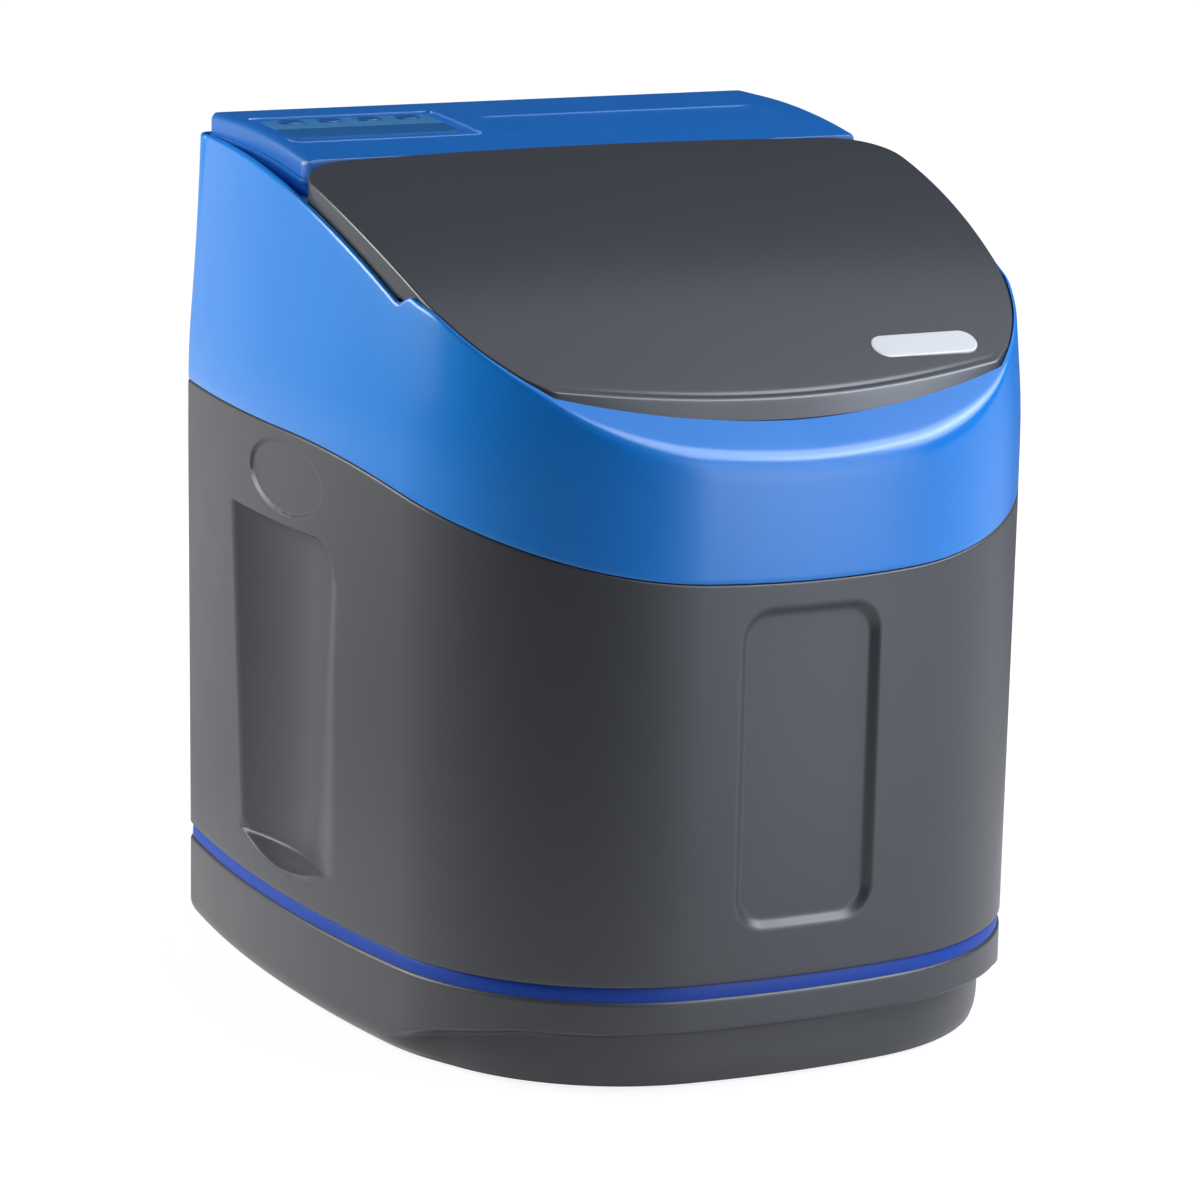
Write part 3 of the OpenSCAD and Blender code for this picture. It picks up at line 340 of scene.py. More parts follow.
def finish_piece(obj, material, body, nodes, crease=32):
    """Shading, material and the body that the piece moves with."""
    face_outwards(obj)
    obj.data.polygons.foreach_set("use_smooth", np.ones(len(obj.data.polygons), bool))
    obj.data.set_sharp_from_angle(angle=math.radians(crease))
    obj.data.materials.clear()
    obj.data.materials.append(material)
    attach(obj, body)
    if nodes:
        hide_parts(*nodes)


# Materials

GRAIN_SCALE = 1100


def new_material(name):
    material = bpy.data.materials.new(name)
    material.use_nodes = True
    tree = material.node_tree
    return material, tree, tree.nodes["Principled BSDF"]


def noise(tree, where, scale, detail):
    node = tree.nodes.new("ShaderNodeTexNoise")
    node.inputs["Scale"].default_value = scale
    node.inputs["Detail"].default_value = detail
    tree.links.new(where, node.inputs["Vector"])
    return node.outputs["Fac"]


def map_range(tree, value, start, end, low, high):
    """Smoothly maps a value between start and end to a range from low to high."""
    node = tree.nodes.new("ShaderNodeMapRange")
    node.interpolation_type = "SMOOTHSTEP"
    limits = {"From Min": start, "From Max": end, "To Min": low, "To Max": high}
    for name, limit in limits.items():
        node.inputs[name].default_value = limit
    tree.links.new(value, node.inputs["Value"])
    return node.outputs["Result"]


def spread(tree, value, low, high):
    """Maps a noise value to a range."""
    return map_range(tree, value, 0.15, 0.85, low, high)


def add_bump(tree, shader, height, strength, distance):
    """Fine relief in the shading; distance in millimetres."""
    bump = tree.nodes.new("ShaderNodeBump")
    bump.inputs["Strength"].default_value = strength
    bump.inputs["Distance"].default_value = distance * MM
    tree.links.new(height, bump.inputs["Height"])
    tree.links.new(bump.outputs["Normal"], shader.inputs["Normal"])
    return bump


def moulded_plastic(name, colour, roughness, grain=0.012, mottle=0.05, specular=0.5):
    """Moulded plastic with a fine grain, faint flow marks in its colour and uneven gloss."""
    material, tree, shader = new_material(name)
    where = tree.nodes.new("ShaderNodeTexCoord").outputs["Object"]
    broad = noise(tree, where, 9, 3)
    fine = noise(tree, where, GRAIN_SCALE, 2)
    shade = tree.nodes.new("ShaderNodeMix")
    shade.data_type = "RGBA"
    darker = [c * (1 - mottle) for c in colour] + [1]
    lighter = [min(c * (1 + mottle), 1) for c in colour] + [1]
    shade.inputs["A"].default_value = darker
    shade.inputs["B"].default_value = lighter
    tree.links.new(spread(tree, broad, 0, 1), shade.inputs["Factor"])
    tree.links.new(shade.outputs["Result"], shader.inputs["Base Color"])
    patch = noise(tree, where, 30, 1)
    tree.links.new(spread(tree, patch, roughness - 0.012, roughness + 0.012), shader.inputs["Roughness"])
    add_bump(tree, shader, fine, 0.25, grain)
    shader.inputs["Specular IOR Level"].default_value = specular
    return material


def metal(name, colour, roughness):
    """Turned metal with fine marks in its gloss."""
    material, tree, shader = new_material(name)
    where = tree.nodes.new("ShaderNodeTexCoord").outputs["Object"]
    marks = noise(tree, where, 700, 4)
    shader.inputs["Metallic"].default_value = 1.0
    shader.inputs["Base Color"].default_value = list(colour) + [1]
    tree.links.new(spread(tree, marks, roughness - 0.08, roughness + 0.08), shader.inputs["Roughness"])
    add_bump(tree, shader, marks, 0.15, 0.02)
    return material


def resin_beads(name):
    """Amber ion-exchange beads packed together, with painted shade in the gaps between them."""
    material, tree, shader = new_material(name)
    where = tree.nodes.new("ShaderNodeTexCoord").outputs["Object"]
    beads = tree.nodes.new("ShaderNodeTexVoronoi")
    beads.inputs["Scale"].default_value = 900
    tree.links.new(where, beads.inputs["Vector"])
    # Light amber in each bead's middle, dark amber towards the gaps between beads: painted shade between the
    # beads.
    ramp = tree.nodes.new("ShaderNodeValToRGB")
    ramp.color_ramp.elements[0].color = (0.42, 0.18, 0.04, 1)
    ramp.color_ramp.elements[1].color = (0.10, 0.035, 0.01, 1)
    tree.links.new(beads.outputs["Distance"], ramp.inputs["Fac"])
    tree.links.new(ramp.outputs["Color"], shader.inputs["Base Color"])
    shader.inputs["Roughness"].default_value = 0.3
    add_bump(tree, shader, beads.outputs["Distance"], 0.8, 0.4).invert = True
    return material


GREY_SHELL = moulded_plastic("grey_shell", (0.068, 0.07, 0.08), 0.4)
GREY_BASE = moulded_plastic("grey_base", (0.07, 0.072, 0.082), 0.4)
GREY_LID = moulded_plastic("grey_lid", (0.078, 0.083, 0.094), 0.255, grain=0.005, mottle=0.02)
BLUE_SHELL = moulded_plastic("blue_shell", (0.012, 0.28, 0.9), 0.22, grain=0.006, mottle=0.03)
# The cover's blue is the hood's blue made darker: painted shade for the cover's upward-facing top, which
# darkens its side walls as well.
BLUE_COVER_PAINTED_SHADE = moulded_plastic("blue_cover_painted_shade", (0.016, 0.19, 0.64), 0.34, grain=0.006, mottle=0.03)
BLUE_STRIPE = moulded_plastic("blue_stripe", (0.012, 0.075, 0.48), 0.5, mottle=0.04, specular=0.25)
BLUE_BEZEL = moulded_plastic("blue_bezel", (0.016, 0.2, 0.7), 0.33, grain=0.004)
FILM_TEAL = moulded_plastic("film_teal", (0.07, 0.28, 0.58), 0.36, grain=0.003, mottle=0.02)
# Light blue of the bead round the display: a painted highlight along the frame's edges.
TRIM_PAINTED_HIGHLIGHT = moulded_plastic("trim_painted_highlight", (0.22, 0.42, 0.8), 0.3, grain=0.003, mottle=0.02)
WINDOW_DARK = moulded_plastic("display_dark", (0.03, 0.18, 0.48), 0.25, grain=0.001, mottle=0.02)
BUTTON_BLUE = moulded_plastic("button_blue", (0.02, 0.12, 0.34), 0.4, grain=0.006)
BADGE_WHITE = moulded_plastic("badge_white", (0.97, 0.97, 0.97), 0.3, grain=0.003, mottle=0.01)


# Base tray

TOE_INSET = 12.0
TOE_H = 36.0
TOE_BACK = BACK_Y - 299
SKIRT_R = 14.0
RIM_R = 2.4


def toe_height(y):
    """Height of the arched toe recess along the front."""
    run = TOE_BACK - FRONT_Y
    places = [FRONT_Y - 20, TOE_BACK - 0.65 * run, TOE_BACK - 0.33 * run, TOE_BACK, TOE_BACK + 6]
    heights = [TOE_H, 0.95 * TOE_H, 0.7 * TOE_H, 0.3 * TOE_H, -6]
    return np.interp(y, places, heights)


def base_inset(columns, z):
    """Inset of the skirt: a rounded lower edge, and the toe recess at the front."""
    y = columns[1]
    below = np.clip(SKIRT_R - (z - FOOT_Z), 0, SKIRT_R)
    skirt = SKIRT_R - np.sqrt(SKIRT_R ** 2 - below ** 2)
    skirt = np.minimum(skirt, 9.5)
    ahead = smoothstep((TOE_BACK + 6 - y) / 60)
    toe = TOE_INSET * ahead * smoothstep((toe_height(y) + 2 - z) / 6)
    edge = np.clip(RIM_R - (BASE_TOP - z), 0, RIM_R)
    rim = RIM_R - np.sqrt(RIM_R ** 2 - edge ** 2)
    return toe + skirt * (1 - 0.75 * ahead) + rim


def make_base():
    columns = outline(lambda x, y: np.where((y < -60) & (y > -110), 2.0, 3.5))
    inner = 18.0
    rows = [at_inset(columns, base_inset(columns, FOOT_Z), FOOT_Z)]
    near_top = BASE_TOP - RIM_R * np.array([1.0, 0.75, 0.5, 0.3, 0.15, 0.05, 0])
    heights = np.concatenate([np.arange(FOOT_Z, BASE_TOP - RIM_R - 0.5, 1.0), near_top])
    for z in heights[1:]:
        rows.append(at_inset(columns, base_inset(columns, z), z))
    rows.append(at_inset(columns, inner, BASE_TOP))
    rows.append(at_inset(columns, inner, FOOT_Z + 4))
    base = capped_object("base_tray_skin", rows)
    finish_piece(base, GREY_BASE, "cabinet", ["base_tray"])


def make_stripe():
    columns = outline(lambda x, y: np.full_like(x, 4.0))
    back = 15.0
    profile = [(back, BASE_TOP - 1.2), (1.5, BASE_TOP - 1.2), (1.3, BASE_TOP + 1.0), (1.4, BASE_TOP + 4.0),
               (1.8, TUB_Z - 0.8), (2.1, TUB_Z - 0.3), (2.8, TUB_Z - 0.1), (back, TUB_Z - 0.1)]
    stripe = ring_object("stripe_band_skin", [at_inset(columns, d, z) for d, z in profile])
    finish_piece(stripe, BLUE_STRIPE, "cabinet", ["stripe_band"])


# Salt tub

SCOOP_MID, SCOOP_BOTTOM, SCOOP_TOP = 46.7, 78.0, 284.5
RECESS_MID_Z, RECESS_HALF_W, RECESS_HALF_H, RECESS_R = 183.5, 43.5, 91.5, 19.0
RECESS_DEPTH, RECESS_WALL = 4.6, 4.6
OVAL_Y, OVAL_Z, OVAL_HALF_L, OVAL_HALF_H, OVAL_DEPTH = 38.0, 312.0, 49.0, 22.0, 1.5


def scoop_depth(y, z):
    """Depth of a hand-grip scoop: part of a leaning cylinder between a ledge and a steep top wall."""
    half = 54.7 + 0.0815 * (z - 94)
    hollow = 0.00475 * (half ** 2 - (y - SCOOP_MID) ** 2)
    shelf = 2.0 * (z - SCOOP_BOTTOM - 0.0034 * (y - SCOOP_MID) ** 2)
    turn = np.clip((-2 - y) / 23, 0, 1)
    roof_z = SCOOP_TOP - 22 * (1 - np.sqrt(1 - turn ** 2))
    roof_wall = 2.5 * (roof_z - z)
    depth = smooth_min(smooth_min(hollow, shelf, 2.2), roof_wall, 2.0)
    ahead = smoothstep((SCOOP_MID - y) / 50)
    soft = 1.5 + ahead * (4.5 + 5 * smoothstep((230 - z) / 120)) + 3.5 * smoothstep((96 - z) / 10)
    lip = 0.6 * np.exp(-((shelf + 1.0) / 2.2) ** 2) * smoothstep((half - np.abs(y - SCOOP_MID)) / 8)
    return -smooth_min(-depth, 0 * depth, soft) - lip


def recess_depth(x, z):
    """Depth of the shallow panel on the front."""
    outside = rounded_box_distance(x, z - RECESS_MID_Z, RECESS_HALF_W, RECESS_HALF_H, RECESS_R)
    inside = -smooth_min(outside / RECESS_WALL, 0 * outside, 0.3)
    return RECESS_DEPTH * np.clip(smooth_min(inside, 1 + 0 * inside, 0.3), 0, 1)


def oval_depth(y, z):
    """Depth of the oval knock-out over each scoop."""
    u, v = (y - OVAL_Y) / OVAL_HALF_L, (z - OVAL_Z) / OVAL_HALF_H
    reach = np.hypot(u, v)
    steep = np.hypot(u / OVAL_HALF_L, v / OVAL_HALF_H) / np.maximum(reach, 1e-6)
    inside = (1 - reach) / np.maximum(steep, 1e-6)
    return OVAL_DEPTH * smoothstep(inside / 2.2)


def tub_depth(columns, z):
    """Depth of the tub's hollows below its plain wall."""
    x, y, nx, ny = columns
    side = np.abs(nx) > 0.8
    front = (ny < -0.8) & (np.abs(x) < 60)
    return np.where(side, scoop_depth(y, z) + oval_depth(y, z), 0) + np.where(front, recess_depth(x, z), 0)


def tub_columns(x, y):
    scoop = (y < 118) & (y > -34)
    recess = (np.abs(x) < 52) & (y < -150)
    recess_wall = recess & (np.abs(np.abs(x) - RECESS_HALF_W + 3) < 5)
    corner = (y > BACK_Y - 22) & (x > 150)
    spacing = np.where(scoop | recess, 1.15, np.where(corner, 2.0, 4.0))
    return np.where(recess_wall, 0.6, spacing)


def tub_heights():
    """Rows up the wall, close together where the hollows begin and end."""
    return np.concatenate([
        TUB_Z + np.array([0, 0.15, 0.45, 0.9, 1.5]),
        np.arange(TUB_Z + 4, 75, 3.5), np.arange(75, 98, 0.7), np.arange(98, 113, 1.5),
        np.arange(114, 252, 6), np.arange(254, 268, 1.5), np.arange(268, 287, 0.8)])


def screw_bars(radius, start_y, end_y):
    """Bars that cut the holes of the two hood screws."""
    x, z = 150, SEAM_Z - 8
    return [bar_object("screw", radius, (s * x, start_y, z), (s * x, end_y, z)) for s in (-1, 1)]


def make_tub():
    columns = outline(tub_columns)
    y = columns[1]
    low_inset = 18.4
    edge_r = 1.5
    rim_rows = 58
    heights = tub_heights()
    rows = [at_inset(columns, low_inset, TUB_FLOOR), at_inset(columns, low_inset, TUB_Z)]
    for z in heights:
        below = np.clip(edge_r - (z - TUB_Z), 0, edge_r)
        rounding = edge_r - np.sqrt(edge_r ** 2 - below ** 2)
        rows.append(at_inset(columns, tub_depth(columns, z) + rounding, z))
    last = heights[-1]
    for t in np.linspace(0, 1, rim_rows + 1)[1:]:
        z = last + t * (seam(y) - edge_r - last)
        rows.append(at_inset(columns, tub_depth(columns, z), z))
    for turn in np.radians([22.5, 45, 67.5, 90]):
        z = seam(y) - edge_r + edge_r * math.sin(turn)
        rows.append(at_inset(columns, edge_r * (1 - math.cos(turn)), z))
    rows.append(at_inset(columns, WALL, seam(y)))
    for z in (275, 262, 240, 215, 190, 165, 140, 115, 100, 92, 86, 78):
        depth = np.max([tub_depth(columns, z + shift) for shift in (-4, 0, 4)], axis=0)
        rows.append(at_inset(columns, depth + WALL, z))
    rows.append(at_inset(columns, WALL, TUB_Z + WALL))
    rows.append(at_inset(columns, low_inset + WALL, TUB_Z + WALL))
    rows.append(at_inset(columns, low_inset + WALL, TUB_FLOOR + WALL))
    tub = capped_object("cabinet_tub_skin", rows)
    pocket_low, pocket_high = np.array([95, BACK_Y - 26, 270]), np.array([155, BACK_Y + 2, 318])
    backing = box_object("backing", pocket_low - [3, 3, 3], pocket_high + [3, -3, 3])
    pocket = box_object("pocket", pocket_low, pocket_high)
    spout = bar_object("spout", 9.02, (125, BACK_Y - 40, 294), (125, BACK_Y, 294))
    screws = screw_bars(4.05, BACK_Y - 2.6, BACK_Y + 3)
    combine(tub, "UNION", [backing])
    combine(tub, "DIFFERENCE", [pocket, spout] + screws)
    finish_piece(tub, GREY_SHELL, "cabinet", ["cabinet_tub"])


# Hood

MOUTH_X = 166.0
MOUTH_IN = 16.0


def front_share(y):
    """0 along the side walls, 1 where the front ledge closes the hood."""
    return smoothstep((NOTCH_Y + 2 - y) / 16)


def front_arc_reach(columns, extra):
    """Inset from the outline to the arc of the lid's front edge, or to an arc extra behind it."""
    x, y, nx, ny = columns
    centre_y = LID_FRONT_Y + LID_FRONT_R
    reach = np.hypot(x, y - centre_y)
    facing = (x * nx + (y - centre_y) * ny) / reach
    return (reach - LID_FRONT_R + extra) / np.maximum(facing, 0.3)


def mouth_reach(columns):
    """Inset from the outline to the edge of the salt mouth, for the front ledge."""
    across = (np.abs(columns[0]) - MOUTH_X) / np.maximum(np.abs(columns[2]), 0.05)
    return np.maximum(np.maximum(across, front_arc_reach(columns, MOUTH_IN)), 19.5)


def roof_lift(x, y):
    """How far the roof outside the lid stands over its plain line: most at the front corners."""
    across = 1.0 + 3.2 * np.clip(np.abs(x) / 146, 0, 1) ** 1.2
    return across * smoothstep((NOTCH_Y - 10 - y) / 27)


def lid_inset(y):
    """Inset of the lid's side edge from the plan outline."""
    places = [-180, -143, -110, -78, -23, 20, 60]
    return np.interp(y, places, [6.5, 7.0, 8.7, 9.9, 12.0, 13.6, 15.0])


def lid_reach(columns):
    """Inset from the outline to the lid's edge."""
    return np.maximum(lid_inset(columns[1]), front_arc_reach(columns, 0))


def hood_inset(columns, z):
    back = np.clip(columns[3], 0, 1) ** 2
    return side_inset(z) * (1 - back) + back_inset(z) * back


def hood_top(columns, inset):
    """Height of the hood's upper face at an inset from the outline."""
    x, y, nx, ny = columns
    share = front_share(y)
    outside = smoothstep((lid_reach(columns) - 0.2 - inset) / 0.5)
    place_x, place_y = x - nx * inset, y - ny * inset
    return share * (roof(place_y) + outside * roof_lift(place_x, place_y)) + (1 - share) * wall_top(y)


def hood_columns(x, y):
    near_notch = (y < -72) & (y > -102)
    corner = (y > BACK_Y - 22) & (x > 150)
    return np.where(near_notch, 0.7, np.where(corner, 1.8, 3.0))


def hood_rows(columns):
    """Closed profile of the hood: outer wall, rounded edge, roof, inner wall and lip."""
    x, y = columns[:2]
    share = front_share(y)
    edge_z = hood_top(columns, 3.0)
    for _ in range(12):
        edge_z = hood_top(columns, hood_inset(columns, edge_z))
    edge_d = hood_inset(columns, edge_z)
    end_d = np.where(share > 0.5, mouth_reach(columns), edge_d + WALL)
    middle = 1 - smoothstep((np.abs(x) - 85) / 80)
    setback = 1.9 + 6.6 * middle * share
    foot = seam(y) + 0.4
    rows = [at_inset(columns, hood_inset(columns, foot) + 0.8, foot),
            at_inset(columns, hood_inset(columns, foot) + 0.23, foot + 0.23)]
    for t in np.linspace(0, 1, 26):
        z = foot + 0.8 + t * (edge_z - 1.25 * setback - foot - 0.8)
        rows.append(at_inset(columns, hood_inset(columns, z), z))
    start_d, start_z = hood_inset(columns, edge_z - 1.25 * setback), edge_z - 1.25 * setback
    stop_d = edge_d + setback * 0.8
    stop_z = hood_top(columns, stop_d)
    for t in np.linspace(0, 1, 12)[1:]:
        d = (1 - t) ** 2 * start_d + 2 * t * (1 - t) * edge_d + t ** 2 * stop_d
        z = (1 - t) ** 2 * start_z + 2 * t * (1 - t) * edge_z + t ** 2 * stop_z
        rows.append(at_inset(columns, d, z))
    rim_d = np.clip(lid_reach(columns), stop_d + 0.2, end_d - 0.7)
    for t in np.linspace(0, 1, 8)[1:]:
        d = stop_d + t * (rim_d - 0.75 - stop_d) * (rim_d - 0.75 > stop_d)
        rows.append(at_inset(columns, d, hood_top(columns, d)))
    for back in (0.6, 0.45, 0.3, 0.15, 0.0):
        d = np.maximum(rim_d - back, stop_d)
        rows.append(at_inset(columns, d, hood_top(columns, d)))
    for t in np.linspace(0, 1, 7)[1:]:
        d = rim_d + t * (end_d - 0.4 - rim_d)
        rows.append(at_inset(columns, d, hood_top(columns, d)))
    rows.append(at_inset(columns, end_d, hood_top(columns, end_d) - 0.4))
    rows.append(at_inset(columns, end_d, hood_top(columns, end_d) - WALL))
    rows.append(at_inset(columns, edge_d + WALL, hood_top(columns, edge_d + WALL) - WALL - 0.6))
    for t in (0.3, 0.6, 0.9):
        z = edge_z - 4 + t * (seam(y) + 6 - edge_z)
        rows.append(at_inset(columns, hood_inset(columns, z) + WALL, z))
    for d, dz in ((6.3, 4), (6.3, -15), (5.5, -16), (3.4, -16), (3.4, 0.4)):
        rows.append(at_inset(columns, d, seam(y) + dz))
    return rows


def deck_plate(name, x_low, x_high, y_low, y_high):
    """A strip of the deck inside the hood, following the deck's curve."""
    count = max(int((y_high - y_low) / 8), 2)
    ys = np.linspace(y_low, y_high, count)
    points = []
    for y in ys:
        z = float(deck(y))
        left, right = x_low(y), x_high(y)
        points += [[left, y, z], [right, y, z], [right, y, z - WALL], [left, y, z - WALL]]
    faces = loop_faces(count, 4, False)
    faces.append([0, 1, 2, 3])
    faces.append([4 * count - 1, 4 * count - 2, 4 * count - 3, 4 * count - 4])
    return mesh_object(name, points, faces)


def wall_inside(y):
    """Half width inside the hood's walls at the deck."""
    side_x = HALF_W - SIDE_R + np.sqrt(SIDE_R ** 2 - (y - SIDE_MID) ** 2)
    corner = np.maximum(y - (BACK_Y - BACK_R), 0)
    turned_in = BACK_R - np.sqrt(np.maximum(BACK_R ** 2 - corner ** 2, 1))
    return float(side_x - side_inset(470) - WALL + 1 - turned_in)


def hood_deck():
    """Deck strips round the salt mouth and the valve opening, with the risers at the front."""
    front_y, mouth_back = NOTCH_Y - 15, HINGE_Y - 14
    valve_front, valve_back = COVER_FRONT + 18, COVER_BACK - 14
    valve_x = COVER_X - 31
    strips = [
        ("left", lambda y: -wall_inside(y), lambda y: -MOUTH_X, front_y, mouth_back),
        ("right", lambda y: MOUTH_X, wall_inside, front_y, mouth_back),
        ("middle", lambda y: -wall_inside(y), wall_inside, mouth_back, valve_front),
        ("valve_left", lambda y: -wall_inside(y), lambda y: -valve_x, valve_front, valve_back),
        ("valve_right", lambda y: valve_x, wall_inside, valve_front, valve_back),
        ("rear", lambda y: -wall_inside(y), wall_inside, valve_back, BACK_Y - 4.5),
    ]
    plates = [deck_plate(*strip) for strip in strips]
    riser_low, riser_high = float(deck(front_y)) - WALL, float(roof(front_y)) - 0.5
    for s in (-1, 1):
        ends = sorted([s * (MOUTH_X + 0.2), s * (wall_inside(front_y) - 0.5)])
        low, high = (ends[0], front_y - 2, riser_low), (ends[1], front_y + 1, riser_high)
        plates.append(box_object("riser", low, high))
    return plates


def ear_plates(x_low, x_high, radius, foot_z):
    """Rounded hinge ears on both sides: a round head on an upright plate, with the pin's hole."""
    turn = np.radians(np.linspace(0, 180, 15))
    outline_y = np.concatenate([HINGE_Y + radius * np.cos(turn), [HINGE_Y - radius, HINGE_Y + radius]])
    head_z = HINGE_Z + radius * np.sin(turn) * np.sign(HINGE_Z - foot_z)
    outline_z = np.concatenate([head_z, [foot_z, foot_z]])
    ears = []
    for s in (-1, 1):
        loops = [np.stack([np.full_like(outline_y, s * x), outline_y, outline_z], 1) for x in (x_low, x_high)]
        ear = capped_object("ear", loops)
        combine(ear, "DIFFERENCE", [bar_object("pin", 2.06, (s * (x_low - 3), HINGE_Y, HINGE_Z),
                                               (s * (x_high + 3), HINGE_Y, HINGE_Z), 24)])
        ears.append(ear)
    return ears


def make_hood():
    columns = outline(hood_columns)
    hood = ring_object("hood_skin", hood_rows(columns))
    service = box_object("service", (-98, BACK_Y - 20, 352), (98, BACK_Y + 5, 424))
    socket = bar_object("socket", 6.05, (-130, BACK_Y - 20, 425), (-130, BACK_Y + 5, 425))
    screws = screw_bars(2.05, BACK_Y - 14, BACK_Y)
    combine(hood, "DIFFERENCE", [service, socket] + screws)
    join(hood, hood_deck() + ear_plates(EAR_X, EAR_X + EAR_W, 5.0, float(deck(HINGE_Y)) - 1))
    finish_piece(hood, BLUE_SHELL, "cabinet", ["hood"])


# Lid

LID_CENTRE = np.array([0.0, -60.0])


def lid_height(x, y):
    """Crowned top of the lid."""
    crown = LID_CROWN * (1 - (x / LID_X) ** 2)
    reach = TOP_R - 1 + crown
    return TOP_Z - TOP_R + np.sqrt(reach ** 2 - (TOP_FLAT - y) ** 2)


def radial(points):
    """Distance from the lid's centre as a function of direction, for a closed outline."""
    away = points - LID_CENTRE
    angle = np.arctan2(away[:, 1], away[:, 0])
    order = np.argsort(angle)
    angle, reach = angle[order], np.hypot(away[:, 0], away[:, 1])[order]
    angle = np.concatenate([angle[-1:] - 2 * np.pi, angle, angle[:1] + 2 * np.pi])
    reach = np.concatenate([reach[-1:], reach, reach[:1]])
    return lambda a: np.interp(a, angle, reach)


def lid_plan():
    """Columns round the lid: places and outward normals."""
    columns = outline(lambda x, y: np.full_like(x, 1.0))
    inside_hood = at_inset(columns, lid_inset(columns[1]), TOP_Z)[:, :2]
    turn = np.linspace(0, 2 * np.pi, 4000, endpoint=False)
    front_centre = np.array([0, LID_FRONT_Y + LID_FRONT_R])
    front_arc = front_centre + LID_FRONT_R * np.stack([np.cos(turn), np.sin(turn)], 1)
    corner_r = 34.0
    middle_y, half_y = (LID_EDGE - 300) / 2, (LID_EDGE + 300) / 2
    half_x = LID_X + 2
    rim = []
    for sx, sy, start in ((1, 1, 0), (-1, 1, 90), (-1, -1, 180), (1, -1, 270)):
        quarter = np.radians(np.linspace(start, start + 90, 60))
        rim.append(np.stack([sx * (half_x - corner_r) + corner_r * np.cos(quarter),
                             middle_y + sy * (half_y - corner_r) + corner_r * np.sin(quarter)], 1))
    rim = np.concatenate(rim)
    edges = [np.linspace(rim[k - 1], rim[k], 40) for k in range(len(rim))]
    rim = np.concatenate(edges)
    angle = np.linspace(-np.pi, np.pi, 7200, endpoint=False)
    reach = np.minimum(np.minimum(radial(inside_hood)(angle), radial(front_arc)(angle)), radial(rim)(angle))
    window = np.hanning(61)
    wrapped = np.concatenate([reach[-30:], reach, reach[:30]])
    reach = np.convolve(wrapped, window / window.sum(), "valid")
    places = LID_CENTRE + reach[:, None] * np.stack([np.cos(angle), np.sin(angle)], 1)
    step = np.linalg.norm(np.roll(places, -1, axis=0) - places, axis=1)
    along = np.concatenate([[0], np.cumsum(step)])
    at = np.linspace(0, along[-1], 480, endpoint=False)
    closed = np.concatenate([places, places[:1]])
    x, y = np.interp(at, along, closed[:, 0]), np.interp(at, along, closed[:, 1])
    dx, dy = np.roll(x, -1) - np.roll(x, 1), np.roll(y, -1) - np.roll(y, 1)
    size = np.hypot(dx, dy)
    return np.stack([x, y, dy / size, -dx / size])


def lid_under(y):
    """Lower edge of the lid's skirt: above the deck, the side walls' notch and the front ledge."""
    over_deck = deck(y) + 2
    share = front_share(y)
    over_notch = share * roof(y) + (1 - share) * wall_top(y) + 0.6
    return np.where(y > NOTCH_Y + 8, over_deck, over_notch)


